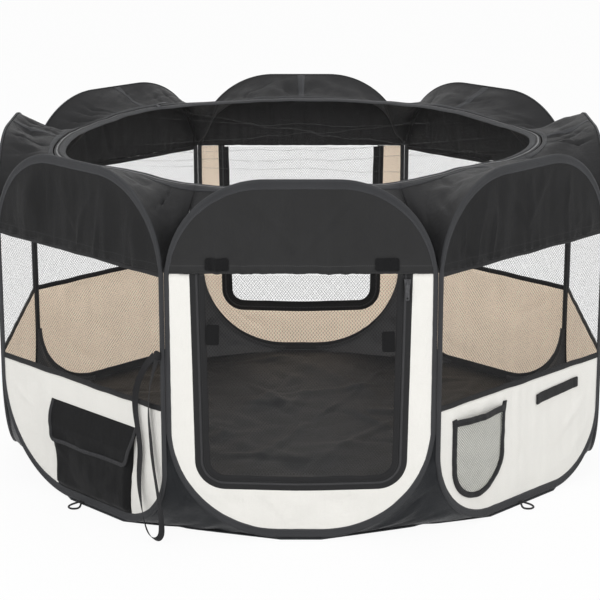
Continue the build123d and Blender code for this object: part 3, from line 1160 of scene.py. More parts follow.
    def seam_tape(self, piece: Piece, low: float, wide: float) -> None:
        """Tape folded over both sides of a seam across the wall.

        Args:
            piece: The piece that it is part of.
            low: Height of its lower edge.
            wide: Its width.
        """
        left, right = self.hoop.span(low, 0.0062)
        route = Route(((left, low, 0), (right, low, 0)))

        def section(share: float) -> list[Spot]:
            """Outline of the tape.

            Args:
                share: Share of the route.

            Returns:
                Points of (inset, n).
            """
            puff = 0.0004 * uneven(share * 28, low * 50, self.seed)
            wave = 0.0016 * uneven(share * 9, low * 31, self.seed + 4)
            out, back, a, b = 0.0048 + puff, 0.0014, wave, wave + wide
            return [(a, out - 0.0007), (a + 0.0008, out), ((a + b) / 2, out + 0.0002), (b - 0.0008, out),
                    (b, out - 0.0007), (b, back + 0.0007), (b - 0.0008, back), (a + 0.0008, back),
                    (a, back + 0.0007)]

        piece.tape(self.wall, route, section, 48)


@dataclass
class DoorWall(SprungWall):
    """A wall with a doorway, closed by a zipped net door that hangs from the band."""

    half: float = 0.185              # half of the doorway's width
    sill: float = 0.098              # height of its foot
    corner: float = 0.050            # radius of its bottom corners
    hang: float = 0.0048             # n of the net door
    lean: float = 0.006              # how much narrower each side is at the foot than at the top
    bow: float = 0.005               # how far the foot hangs down at its middle

    @property
    def door(self) -> str:
        """Name of the door's CAD body."""
        return f"{self.wall.label}_door"

    def route(self, inset: float, top: float = BAND_Z) -> Route:
        """The door's two sides and foot, moved in from the doorway's edge.

        Args:
            inset: How far in.
            top: Height of its two ends.

        Returns:
            The line, down the left side, along the foot and up the right side.
        """
        side, foot, r = self.half - inset, self.sill + inset, max(self.corner - inset, 0.004)
        low, bow_r = side - self.lean, 1.2
        return Route(((-side, top, 0), (-low, foot, r), (0, foot - self.bow, bow_r), (low, foot, r),
                      (side, top, 0)))

    def below(self) -> None:
        """Frame, zip tape, door, tabs and patches."""
        self.frame_cloth()
        self.zip_tape()
        self.net_door()
        self.hook_pads()
        dress(f"{self.wall.label}_door_zip_slider", SLIDER)

    def frame_cloth(self) -> None:
        """Panel round the doorway, down both sides and along its foot."""
        route = self.route(0.0)
        side = (BAND_Z - self.sill - self.corner) / route.length
        bend = math.pi / 2 * self.corner / route.length
        # Shares of the grid and of the route: the round corners get more of the grid's squares.
        spread = ((0, 0), (0.22, side), (0.38, side + bend), (0.62, 1 - side - bend), (0.78, 1 - side),
                  (1, 1))

        def place(s: float, t: float) -> Corner:
            """One corner of the frame's grid, found on the ray from the doorway to the hoop.

            Args:
                s: Share of the doorway's line.
                t: Share of the way out to the hoop.

            Returns:
                The corner.
            """
            spot, out = route.at(between(s, spread))
            wide = self.hoop.distance(spot, out, self.tuck)
            there = spot + out * wide * t
            u, z = there.x, min(there.y, BAND_Z)
            free = self.slack(u, z) * smooth(t * wide / 0.025)
            folds = 0.0054 * crease(u, z, self.seed + 51, math.copysign(48, u), 0.055, 0.22)
            ease = 0.0030 * swell(u, z, self.seed + 50, 0.10, 0.12) + 0.0009 * swell(u, z, 52, 0.03, 0.04)
            return self.wall.point(u, FACE_N + free * (folds + ease), z), (u, z)

        piece = Piece(f"{self.wall.label}_frame_cloth")
        piece.patch(place, 128, 20)
        bmesh.ops.reverse_faces(piece.bm, faces=piece.bm.faces[:])
        looks = [CREAM.material, TAN.material]
        made = piece.finish(self.wall.body, "cream_oxford", looks, [f"{self.wall.label}_door_frame"], CLOTH,
                            inside=1)

    def zip_tape(self) -> None:
        """Zip tape sewn round the doorway, its coil along its inner edge."""
        route = self.route(0.0)

        def section(share: float) -> list[Spot]:
            """Outline of the tape and its coil.

            Args:
                share: Share of the route.

            Returns:
                Points of (inset, n).
            """
            puff = 0.0003 * uneven(share * 60, 3.0, self.seed)
            return [(-0.003, 0.0037), (-0.0026, 0.0041 + puff), (0.004, 0.0041 + puff), (0.0096, 0.0040),
                    (0.0108, 0.0041), (0.0118, 0.00418), (0.0130, 0.00418), (0.0138, 0.0040),
                    (0.014, 0.0034), (0.0138, 0.0028), (0.004, 0.0026), (-0.0026, 0.0034)]

        piece = Piece(f"{self.wall.label}_zip_tape")
        piece.tape(self.wall, route, section, 170)
        piece.finish(self.wall.body, "zip_tape", [DOOR_TAPE.material], [f"{self.wall.label}_door_zip_tape"],
                     closed=True)

    def net_door(self) -> None:
        """The net door and the tape round its three free sides."""
        label, inset = self.wall.label, 0.0225

        def lift(u: float, z: float) -> float:
            """n of the door's net.

            Args:
                u: Place along the wall.
                z: Height.

            Returns:
                The distance n.
            """
            low = self.sill + 0.022
            free = smooth((self.half - inset - abs(u)) / 0.04) * smooth((z - low) / 0.05)
            free *= smooth((BAND_Z - z) / 0.05)
            return self.hang + free * (0.0022 + 0.0024 * swell(u, z, self.seed + 60, 0.14, 0.22)
                                       + 0.0016 * crease(u, z, self.seed + 61, 70, 0.1, 0.4))

        net = Piece(f"{label}_door_net")
        side = rounded(self.sill + inset, 9.0, self.half - inset, self.corner - inset)
        net.rows(self.wall, self.sill + inset, BAND_Z - 0.003, side, lift, 44, 44)
        made = net.finish(self.door, "black_net", [BLACK_NET.material], [f"{label}_door_flap"])
        route = self.route(0.0128, BAND_Z - 0.003)

        def section(share: float) -> list[Spot]:
            """Outline of the door's edge tape, a little uneven along its inner side.

            Args:
                share: Share of the route.

            Returns:
                Points of (inset, n).
            """
            spot, _ = route.at(share)
            wide = 0.0102 + 0.0010 * uneven(share * 24, 7.0, self.seed)
            puff = 0.0004 * uneven(spot.x * 40, spot.y * 40, self.seed + 2)
            low, out = 0.0043, 0.0058 + puff
            return [(0.0002, low), (0.0, out - 0.0006), (0.0007, out), (wide * 0.5, out + 0.0003),
                    (wide - 0.0007, out), (wide, out - 0.0006), (wide, low)]

        edge = Piece(f"{label}_door_edge")
        edge.tape(self.wall, route, section, 170)
        edge.finish(self.door, "binding_tape", [TRIM.material], closed=True)

    def hook_pads(self) -> None:
        """Two hook tabs on the band and two patches on the door that meet them when it is rolled up."""
        label = self.wall.label
        tabs, low, high = Piece(f"{label}_hook_tabs"), 0.4845, 0.5055
        for u in (-0.1415, 0.1445):
            tabs.rows(self.wall, low, high, rounded(low, high, 0.020, 0.003),
                      lambda a, z: self.band_face(a, z) + 0.0021, 20, 10, middle=u, tilt=u * 6)
        tabs.finish(self.wall.body, "hook_tape", [HOOKS.material], [f"{label}_door_tabs"], 0.0019)
        patches = Piece(f"{label}_hook_patches")
        for u, middle, tilt in ((-0.1495, 0.3725, -2.0), (0.148, 0.3605, 1.5)):
            low, high = middle - 0.018, middle + 0.018
            patches.rows(self.wall, low, high, rounded(low, high, 0.011, 0.002),
                         lambda a, z: 0.0074 + 0.0003 * swell(a, z, self.seed, 0.02, 0.02), 10, 14,
                         middle=u, tilt=tilt)
        patches.finish(self.door, "hook_tape", [HOOKS.material], [f"{label}_flap_patches"], 0.0016)


# ---- floor --------------------------------------------------------------------------------------
@dataclass
class Floor:
    """Floor that zips off, its sails in the corners between the hoops' round feet, and its peg loops."""

    thick: float = 0.003
    edge: float = 0.0055             # n of the floor's edge
    behind: float = -0.0004          # n of the sails' edges, just inside the hoops

    def build(self) -> None:
        """Make every piece of the floor."""
        self.mat()
        self.sails()
        for wall in (Wall.FRONT_RIGHT, Wall.BACK_RIGHT, Wall.BACK_LEFT, Wall.FRONT_LEFT):
            self.peg_loop(wall)

    def mat(self) -> None:
        """The floor sheet, in long soft folds and flat where the walls stand on it."""
        piece, wide = Piece("floor_sheet"), 1.16
        spare = 0.001        # how much further its straight edges go than the hoops' straight feet

        def place(s: float, t: float) -> Corner:
            """One corner of the sheet before it is cut to shape.

            Args:
                s: Share across.
                t: Share along.

            Returns:
                The corner.
            """
            x, y = (s - 0.5) * wide, (t - 0.5) * wide
            inside = min(APOTHEM - x * math.sin(k * TURN) + y * math.cos(k * TURN) for k in range(SIDES))
            free = smooth((inside - 0.015) / 0.08)
            rise = 0.0032 * swell(x, y, 70, 0.17, 0.17)
            for seed, turn, short in ((71, 12, 0.13), (72, -24, 0.15), (73, 68, 0.12), (74, -62, 0.16)):
                rise += 0.0058 * crease(x, y, seed, turn, short, 0.6)
            return Vector((x, y, self.thick + free * (0.0008 + abs(rise)))), (x, y)

        piece.patch(place, 150, 150)
        for wall in Wall:
            one, two = HOOPS[wall.value], HOOPS[wall.after.value]
            start = wall.point(one.half - one.feet[1] + spare, self.edge, 0)
            end = wall.after.point(-(two.half - two.feet[0] + spare), self.edge, 0)
            way = (end - start).normalized()
            cuts = (wall.point(0, self.edge, 0), wall.outward()), (start, Vector((way.y, -way.x, 0)))
            for spot, out in cuts:
                everything = piece.bm.verts[:] + piece.bm.edges[:] + piece.bm.faces[:]
                bmesh.ops.bisect_plane(piece.bm, geom=everything, plane_co=spot, plane_no=out,
                                       clear_outer=True)
        made = piece.finish("floor", "black_oxford", [MAT.material], ["floor_mat"], 0.0026)

    def sail(self, wall: Wall) -> Place:
        """Placing function of the sail between a wall and the next.

        Args:
            wall: The wall to its left.

        Returns:
            The function, which laps the sail's two edges behind the hoops.
        """
        after, lap, tuck = wall.after, 0.12, 0.0085
        one, two = HOOPS[wall.value], HOOPS[after.value]
        wide = max(one.feet[1], two.feet[0])
        inward = -(wall.outward() + after.outward()).normalized()

        def place(s: float, t: float) -> Corner:
            """One corner of the sail.

            Args:
                s: Share across.
                t: Share along.

            Returns:
                The corner.
            """
            z = one.foot + wide * (1 - math.cos(math.radians(88 * t)))
            near, far = one.reach(1, z), two.reach(-1, z)
            tucked = max(s - 1 + lap, lap - s, 0.0) / lap * tuck
            if s < lap:
                u, high = one.inward(near, z, tucked)
                point = wall.point(u, self.behind, high)
            elif s > 1 - lap:
                u, high = two.inward(-far, z, tucked)
                point = after.point(u, self.behind, high)
            else:
                share, span = (s - lap) / (1 - 2 * lap), HALF * 2 - near - far
                point = wall.point(near, self.behind, z).lerp(after.point(-far, self.behind, z), share)
                free = math.sin(math.pi * share) * smooth(t / 0.15) * min(span / 0.05, 1.0)
                fold = crease(point.x * 0.7, z, wall.value + 60, 35, 0.05, 0.3)
                ruck = swell(share * span, z, wall.value + 80, 0.030, 0.05)
                point += inward * free * (0.0035 + 0.0050 * ruck + 0.0075 * fold)
            return point, (s * 0.2, z)

        return place

    def sails(self) -> None:
        """Sails of floor cloth that close the corners between the hoops' round feet."""
        piece, looks = Piece("floor_sails"), [MAT.material, SAIL_BACK.material]
        for wall in Wall:
            piece.patch(self.sail(wall), 25, 26)
        made = piece.finish("floor", "black_oxford", looks, ["floor_gussets"], 0.0008, inside=1)
        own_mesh(made)

    def peg_loop(self, wall: Wall) -> None:
        """Loop of round cord at the floor's edge that a tent peg goes through.

        Args:
            wall: The wall below which it lies.
        """
        cord, low, high = 0.0018, 0.0019, 0.0074
        route = [(0.0026, self.edge - 0.004, high), (0.0026, 0.0105, high - 0.001), (0.0130, 0.0225, low),
                 (0.0062, 0.0348, low)]
        route = [(-u, n, z) for u, n, z in route] + route[::-1]
        line = spline_line([wall.point(*spot) for spot in route], 10)
        piece = Piece(f"{wall.label}_peg_cord")

        def place(s: float, t: float) -> Corner:
            """One corner of the cord.

            Args:
                s: Share along.
                t: Share around.

            Returns:
                The corner.
            """
            i = round(s * (len(line) - 1))
            way = heading(line, i)
            side, turn = way.cross(Vector((0, 0, 1))).normalized(), 2 * math.pi * t
            up = side.cross(way)
            return line[i] + (side * math.cos(turn) + up * math.sin(turn)) * cord, (i * 0.0015, cord * turn)

        piece.tube(place, len(line) - 1, 10)
        stands_for = ["peg_loops"] if wall is Wall.FRONT_RIGHT else []
        piece.finish("floor", "webbing", [CORD.material], stands_for, closed=True)


# ---- roof ---------------------------------------------------------------------------------------
@dataclass(frozen=True)
class LongFold:
    """One of the long folds that the lid's net keeps from being packed."""

    x: float
    y: float
    turn: float                      # its direction, in degrees from x
    high: float

    @property
    def way(self) -> Spot:
        """Unit vector along the fold."""
        return math.cos(math.radians(self.turn)), math.sin(math.radians(self.turn))

    def rise(self, x: float, y: float) -> float:
        """How far the fold lifts the net at a spot.

        Args:
            x: The spot's x.
            y: The spot's y.

        Returns:
            The rise.
        """
        c, s = self.way
        off = (y - self.y) * c - (x - self.x) * s
        off += 0.010 * math.sin(((x - self.x) * c + (y - self.y) * s) * 9)
        return self.high * math.exp(-(off / 0.0055) ** 2)

    def doubled(self, share: float, run: float) -> Spot:
        """x and y of a corner of the net that lies double along the fold.

        Args:
            share: From 0 to 1 across the fold.
            run: From 0 to 1 along it.

        Returns:
            The spot.
        """
        c, s = self.way
        half = math.sqrt(0.40 ** 2 - (self.y * c - self.x * s) ** 2)
        along = -(self.x * c + self.y * s) + (2 * run - 1) * half * 0.9
        across = (share - 0.5) * 0.0028 * math.sin(math.pi * run) ** 0.5 - 0.010 * math.sin(along * 9)
        return self.x + along * c - across * s, self.y + along * s + across * c


@dataclass
class Roof:
    """Eaves from the arches in to the round zip, and the net lid."""

    rim: float = 0.456               # the round zip's distance from the middle, on average
    rim_z: float = 0.603
    start: float = -0.0004           # n of the eaves' outer edge
    net_inset: float = 0.0198        # how far inside the rim the lid's net ends
    # How far the rim stands out at each wall's middle and at the fork after it.
    drawn: tuple[float, ...] = (
        0.006, -0.012, -0.036, -0.012, 0.008, -0.012, -0.006, 0.010,
        -0.006, 0.010, 0.006, -0.002, 0.006, 0.028, -0.008, 0.014)
    folds: tuple[LongFold, ...] = (
        LongFold(0.02, 0.10, -38.0, 0.0040), LongFold(-0.16, -0.20, 8.0, 0.0036),
        LongFold(0.10, -0.30, -6.0, 0.0034), LongFold(0.24, 0.18, 22.0, 0.0030),
        LongFold(0.0, -0.08, 14.0, 0.0028), LongFold(-0.05, 0.20, -4.0, 0.0030))

    def build(self) -> None:
        """Make every piece of the roof."""
        for wall in Wall:
            self.gore(wall)
        self.zip_ring()
        self.lid_edge()
        self.lid_net()
        self.slider()

    def rim_spot(self, angle: float, inset: float = 0.0, rise: float = 0.0) -> Vector:
        """Point of the rim, which the taut cloth draws in and out.

        Args:
            angle: From the front wall's middle, anticlockwise.
            inset: How far inside the rim.
            rise: How far above it.

        Returns:
            The point.
        """
        count = len(self.drawn)
        place = angle / TURN * 2 % count
        i, t = int(place), place % 1
        # A smooth curve through the four nearest values.
        a, b, c, d = (self.drawn[(i + k) % count] for k in (-1, 0, 1, 2))
        out = b + 0.5 * t * (c - a + t * (2 * a - 5 * b + 4 * c - d + t * (3 * (b - c) + d - a)))
        ruck = 0.0018 * uneven(math.cos(angle) * 9, math.sin(angle) * 9, 3.0)
        r = self.rim + out + ruck - inset
        z = self.rim_z + rise + ruck - 0.003 * math.sin(math.pi * (place / 2 % 1)) ** 2
        return Vector((r * math.sin(angle), -r * math.cos(angle), z))

    def edge(self, share: float, lap: float = 0.0) -> Vector:
        """Spot of the eaves' outer edge, from the left fork over the arch to the right one, as (u, n, z).

        Args:
            share: From -1 to 1.
            lap: How far it is tucked behind the hoop.

        Returns:
            The spot.
        """
        hoop, r, down = HOOPS[0], 0.166, 1.523      # the seam's bend, and how far round it goes in radians
        flat = hoop.half - hoop.arch_r
        run = abs(share) * (flat + r * down)
        if run <= flat:
            u, z = run, hoop.top - 0.002 - lap
        else:
            turn = (run - flat) / r
            u, z = flat + (r - lap) * math.sin(turn), hoop.top - hoop.arch_r + (r - lap) * math.cos(turn)
        free = 1 - min(lap / 0.002, 1)
        n = self.start + 0.0030 * smooth((abs(share) - 0.80) / 0.12) * free
        u += (HALF + n * math.tan(TURN / 2) - flat - r) * smooth((abs(share) - 0.9) / 0.1) * free
        return Vector((math.copysign(u, share), n, z))

    def surface(self, share: float, t: float, wall: Wall) -> Vector:
        """Point of one gore.

        Args:
            share: From -1 at its left fork to 1 at its right.
            t: 0 at the outer edge and 1 at the round zip.
            wall: The wall that the gore is sewn to.

        Returns:
            The point.
        """
        angle = (wall.value + share / 2) * TURN
        start, end = wall.point(*self.edge(share)), self.rim_spot(angle, -0.003, 0.0005)
        spot = start.lerp(end, t)
        free = math.sin(math.pi * min(max(t, 0.0), 1.0))
        down = (end - start).cross(Vector((math.cos(angle), math.sin(angle), 0))).normalized()
        # A gore's own folds die out at its two seams, and the broad ones run on into its neighbours.
        own = 1 - abs(share) ** 8
        deep, wide = t * 0.12, share * 0.19
        strain = 0.0080 * crease(deep, wide, wall.value + 100, 12 * share, 0.034, 0.30)
        rucks = 0.0030 * crease(deep, wide, wall.value + 110, 50, 0.040, 0.30)
        fold = 0.0070 * swell(spot.x, spot.y, 100, 0.085, 0.085)
        fold += 0.0008 * swell(spot.x, spot.y, 101, 0.02, 0.02)
        fork = math.exp(-((1 - abs(share)) / 0.05) ** 2)
        sag = 0.0030 * (1 - share * share) + 0.0120 * fork * smooth(t / 0.35)
        return spot + down * free * (sag + (strain + rucks) * own + fold * (1 - 0.5 * share ** 4))

    def gore(self, wall: Wall) -> None:
        """One gore, the seam down its middle and its inner hem.

        Args:
            wall: The wall that it is sewn to.
        """
        piece, layer, hem_wide = Piece(f"{wall.label}_eave"), 0.0010, 0.0095

        def cloth(s: float, t: float) -> Corner:
            """One corner of the gore, its outer edge lapped behind the hoop.

            Args:
                s: Share across.
                t: Share along.

            Returns:
                The corner.
            """
            share, along = 2 * s - 1, (t - 0.08) / 0.92
            if along < 0:
                return wall.point(*self.edge(share, -along * 0.1)), (share * 0.2, along * 0.1)
            return self.surface(share, along, wall), (share * 0.2, along * 0.1)

        def seam(s: float, t: float) -> Corner:
            """One corner of the tape over the gore's middle seam.

            Args:
                s: Share across.
                t: Share along.

            Returns:
                The corner.
            """
            spot = self.surface((2 * s - 1) * 0.027, 0.02 + 0.9 * t, wall)
            spot.z += layer * math.sin(math.pi * (0.15 + 0.7 * s))
            return spot, (t * 0.08, s * 0.009)

        def hem(s: float, t: float) -> Corner:
            """One corner of the hem beside the round zip.

            Args:
                s: Share across.
                t: Share along.

            Returns:
                The corner.
            """
            share = 2 * s - 1
            run = (self.surface(share, 1, wall) - self.surface(share, 0, wall)).length
            spot = self.surface(share, 1.0 - hem_wide / run * (1 - t), wall)
            spot.z += 0.0014 * math.sin(math.pi * (0.12 + 0.76 * t)) + 0.0003
            return spot, (share * 0.19, t * hem_wide)

        piece.patch(cloth, 96, 25)
        piece.patch(seam, 6, 14, look=1)
        piece.patch(hem, 96, 5, look=1)
        stands_for = ["eave_ring"] if wall is Wall.FRONT else []
        made = piece.finish(wall.body, "black_oxford", [EAVE.material, BINDING.material], stands_for, layer)
        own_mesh(made)

    def turned(self, name: str, outline: Sequence[Spot]) -> Piece:
        """Closed ring that follows the rim.

        Args:
            name: Name of the piece.
            outline: Points of (inset from the rim, rise), in order round the section.

        Returns:
            The piece, with cloth coordinates along and across it.
        """
        piece = Piece(name)
        count = len(outline)

        def place(s: float, t: float) -> Corner:
            """One corner of the ring."""
            spot = self.rim_spot(2 * math.pi * s, *outline[round(t * count) % count])
            return spot, (2 * math.pi * s * self.rim, run_in(outline, round(t * count)))

        piece.patch(place, 240, count)
        return piece

    def zip_ring(self) -> None:
        """Round zip between the eaves and the lid, its coil standing proud."""
        outline = [(0.0, -0.0012), (0.0, 0.0006), (0.0026, 0.0008), (0.0034, 0.0017), (0.0050, 0.0021),
                   (0.0066, 0.0016), (0.0074, 0.0008), (0.0094, 0.0004), (0.0094, -0.0012)]
        made = self.turned("lid_zip", outline).finish("roof_ring", "zip_tape", [LID_TAPE.material],
                                                      ["rim_zip_tape"], closed=True)
        self.fold_in(made)

    def lid_edge(self) -> None:
        """Tape that binds the lid's net, dipping inward."""
        outline = [(0.0098, 0.0), (0.0098, 0.0014), (0.0108, 0.0020), (0.0160, 0.0012), (0.0205, -0.0006),
                   (0.0215, -0.0014), (0.0210, -0.0022), (0.0160, -0.0006)]
        made = self.turned("lid_binding", outline).finish("cover", "binding_tape", [BINDING.material],
                                                          closed=True)
        self.fold_in(made)

    def net_height(self, x: float, y: float) -> float:
        """Height of the lid's net, with the long folds that it keeps from being packed.

        Args:
            x: The spot's x.
            y: The spot's y.

        Returns:
            The height.
        """
        angle, r = math.atan2(x, -y), math.hypot(x, y)
        edge = self.rim_spot(angle, self.net_inset, -0.0012)
        inside = max(1 - (r / math.hypot(edge.x, edge.y)) ** 2, 0.0)
        rise = sum(fold.rise(x, y) for fold in self.folds)
        sag = -0.0100 * inside + 0.0035 * swell(x, y, 120, 0.2, 0.2) * smooth(inside * 4)
        return edge.z + sag + rise * smooth(inside * 5)

    def pleat(self, fold: LongFold, s: float, t: float) -> Corner:
        """One corner of the net that lies double on a fold."""
        x, y = fold.doubled(s, t)
        return Vector((x, y, self.net_height(x, y) + 0.0006)), (x, y)

    def lid_net(self) -> None:
        """Sheer net of the lid, doubled along its long folds."""
        piece = Piece("lid_net")

        def place(s: float, t: float) -> Corner:
            """One corner of the net.

            Args:
                s: Share across.
                t: Share along.

            Returns:
                The corner.
            """
            a, b = 2 * s - 1, 2 * t - 1
            x, y = a * math.sqrt(1 - b * b / 2), b * math.sqrt(1 - a * a / 2)
            edge = self.rim_spot(math.atan2(x, -y), self.net_inset)
            reach = math.hypot(edge.x, edge.y)
            x, y = x * reach, y * reach
            return Vector((x, y, self.net_height(x, y))), (x, y)

        piece.patch(place, 130, 130)
        for fold in self.folds:
            piece.patch(partial(self.pleat, fold), 2, 60, look=1)
        made = piece.finish("cover", "black_net", [LID_NET.material, PLEAT.material], ["mesh_cover"])
        self.fold_in(made)

    def slider(self) -> None:
        """The lid's slider, set on the drawn-in zip."""
        node = bpy.data.objects["cover_zip_slider"]
        piece = Piece("lid_zip_slider")
        piece.bm.from_mesh(node.data)
        bmesh.ops.remove_doubles(piece.bm, verts=piece.bm.verts[:], dist=WELD)
        low, high = (Vector(corner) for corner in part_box("cover_zip_slider"))
        middle = (low + high) / 2
        coil = self.rim_spot(math.atan2(middle.x, -middle.y), inset=0.0050)
        move = coil.x - middle.x, coil.y - middle.y, 0.0
        bmesh.ops.translate(piece.bm, verts=piece.bm.verts[:], vec=move)
        made = piece.finish("cover_slider", "zip_metal", [SLIDER.material], ["cover_zip_slider"])
        self.fold_in(made)

    def fold_in(self, made: bpy.types.Object) -> None:
        """Give a piece of the roof its own copy of its mesh."""
        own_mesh(made)


# ---- pockets and trims --------------------------------------------------------------------------
@dataclass
class SewnPiece:
    """Something sewn to a wall's lower panel."""

    wall: Wall

    def ease(self, u: float, z: float) -> float:
        """How far the wall's own cloth stands off where the piece is sewn to it."""
        return SprungWall(self.wall).panel_face(u, z) - FACE_N


@dataclass
class BellowsPocket(SewnPiece):
    """Bag of the bellows pocket on the front left wall."""

    wall: Wall = Wall.FRONT_LEFT
    top: float = 0.172
    foot: float = 0.014              # its lower edge is caught in the hoop's binding
    root: float = 0.0040             # n of the bag's sewn edges
    out: float = 0.0148              # n of its front
    limit: float = 0.0152            # n that its front stays within
    lip: float = 0.030               # how much lower the mouth hangs at its middle

    def sides(self, z: float) -> Spot:
        """u of the bag's two sides at height z.

        Args:
            z: The height.

        Returns:
            u of both sides.
        """
        left = between(z, ((self.foot, -0.071), (self.top, -0.080)))
        right = between(z, ((self.foot, 0.137), (self.top, 0.150)))
        return left, right

    def row(self, s: float, z: float) -> tuple[float, float, float]:
        """u at a share of the row at height z, its distance from the nearer side, and its rise there.

        Args:
            s: Share of the row.
            z: The row's height.

        Returns:
            u, the distance from the nearer side, and the rise from 0 to 1.
        """
        left, right = self.sides(z)
        u = left + (right - left) * s
        near = min(u - left, right - u)
        return u, near, smooth(near / 0.010)

    def place(self, s: float, t: float) -> Corner:
        """One corner of the bag.

        Args:
            s: Share across.
            t: Share along.

        Returns:
            The corner.
        """
        # The mouth hangs lower where the bag stands off the wall, so the rise there is found first.
        _, _, rise = self.row(s, self.foot + (self.top - self.foot) * t)
        z = self.foot + (self.top - self.lip * rise - self.foot) * t
        u, near, rise = self.row(s, z)
        rise *= smooth((HOOPS[self.wall.value].depth(u, z) - 0.0160) / 0.012)
        dent = -0.0035 * smooth((z - self.foot) / 0.1) * smooth(near / 0.05)
        dent *= 0.5 + 0.5 * swell(u, z, 131, 0.1, 0.1)
        ruck = 0.0012 * swell(u, z, 130, 0.04, 0.05)
        n = self.root + (self.out - self.root) * rise + (dent + ruck) * rise
        return self.wall.point(u, min(n, self.limit) + self.ease(u, z), z), (u, z)

    def build(self) -> None:
        """Make the front and sides of the bag in one piece of cloth."""
        piece = Piece("pocket_bag_cloth")
        piece.patch(self.place, 60, 26)
        made = piece.finish(self.wall.body, "black_oxford", [POCKET.material], ["flap_pocket_bag"], CLOTH)


@dataclass
class PocketFlap(SewnPiece):
    """Flap over the bellows pocket's mouth, with its tape along its edge."""

    wall: Wall = Wall.FRONT_LEFT
    low: float = 0.1105
    head: float = 0.186
    corner: float = 0.016            # radius of its lower corners

    @property
    def foot(self) -> float:
        """Height at which its cloth ends, in the tape."""
        return self.low + 0.0005

    def build(self) -> None:
        """Make the flap and its tape."""
        self.cloth()
        self.binding()

    def span(self, z: float) -> Spot:
        """u of the flap's two sides at height z, drawn in towards its lower edge.

        Args:
            z: The height.

        Returns:
            u of both sides.
        """
        near = max(self.corner - (z - self.low), 0.0)
        tuck = self.corner - math.sqrt(max(self.corner ** 2 - near ** 2, 0))
        wave = 0.0022 * math.sin((z - 0.11) * 95)
        return (between(z, ((self.low, -0.0745), (self.head, -0.0835))) + tuck + wave,
                between(z, ((self.low, 0.1430), (self.head, 0.1600))) - tuck - wave * 0.5)

    def lift(self, u: float, z: float) -> float:
        """n of the flap's face, which leans out over the bag and hangs with some slack.

        Args:
            u: Place along the wall.
            z: Height.

        Returns:
            The distance n.
        """
        lean = between(z, ((0.100, 0.0178), (0.143, 0.0174), (self.head, 0.0045)))
        hang = smooth((0.150 - z) / 0.035)
        return lean + hang * (0.0030 * swell(u, z, 140, 0.055, 0.06) + 0.0014) + self.ease(u, z)

    def cloth(self) -> None:
        """The flap itself."""
        cloth = Piece("pocket_flap_cloth")
        cloth.rows(self.wall, self.foot, self.head, self.span, self.lift, 48, 24)
        made = cloth.finish("pocket_flap", "black_oxford", [POCKET.material], ["flap_pocket_flap"], CLOTH)

    def binding(self) -> None:
        """Tape along its two sides and its lower edge, which follows the flap's own lean."""
        piece, high = Piece("pocket_flap_binding"), 0.1855
        heights = [high - (high - self.low) * math.sin(k * math.pi / 48) for k in range(25)]
        edge = [Vector((self.span(z)[0], z)) for z in heights]
        edge += [Vector((u, self.low)) for u in (-0.03, 0.0, 0.03, 0.06, 0.09)]
        edge += [Vector((self.span(z)[1], z)) for z in reversed(heights)]
        outline = ((0.0075, 0.0004), (0.0068, 0.0010), (0.0035, 0.0014), (0.0007, 0.0010), (0.0, -0.0004),
                   (0.0007, -0.0020), (0.0068, -0.0018), (0.0075, -0.0012))
        ring = len(outline)

        def place(s: float, t: float) -> Corner:
            """One corner of the tape.

            Args:
                s: Share along.
                t: Share around.

            Returns:
                The corner.
            """
            i = round(s * (len(edge) - 1))
            way = heading(edge, i)
            inset, n = outline[round(t * ring) % ring]
            u, z = edge[i].x - way.y * inset, edge[i].y + way.x * inset
            spot = self.wall.point(u, self.lift(u, max(z, self.foot)) + n, z)
            return spot, (i * 0.006, min(t, 1 - t) * 0.016)

        piece.tube(place, len(edge) - 1, ring)
        piece.finish("pocket_flap", "binding_tape", [FLAP_TAPE.material], closed=True)


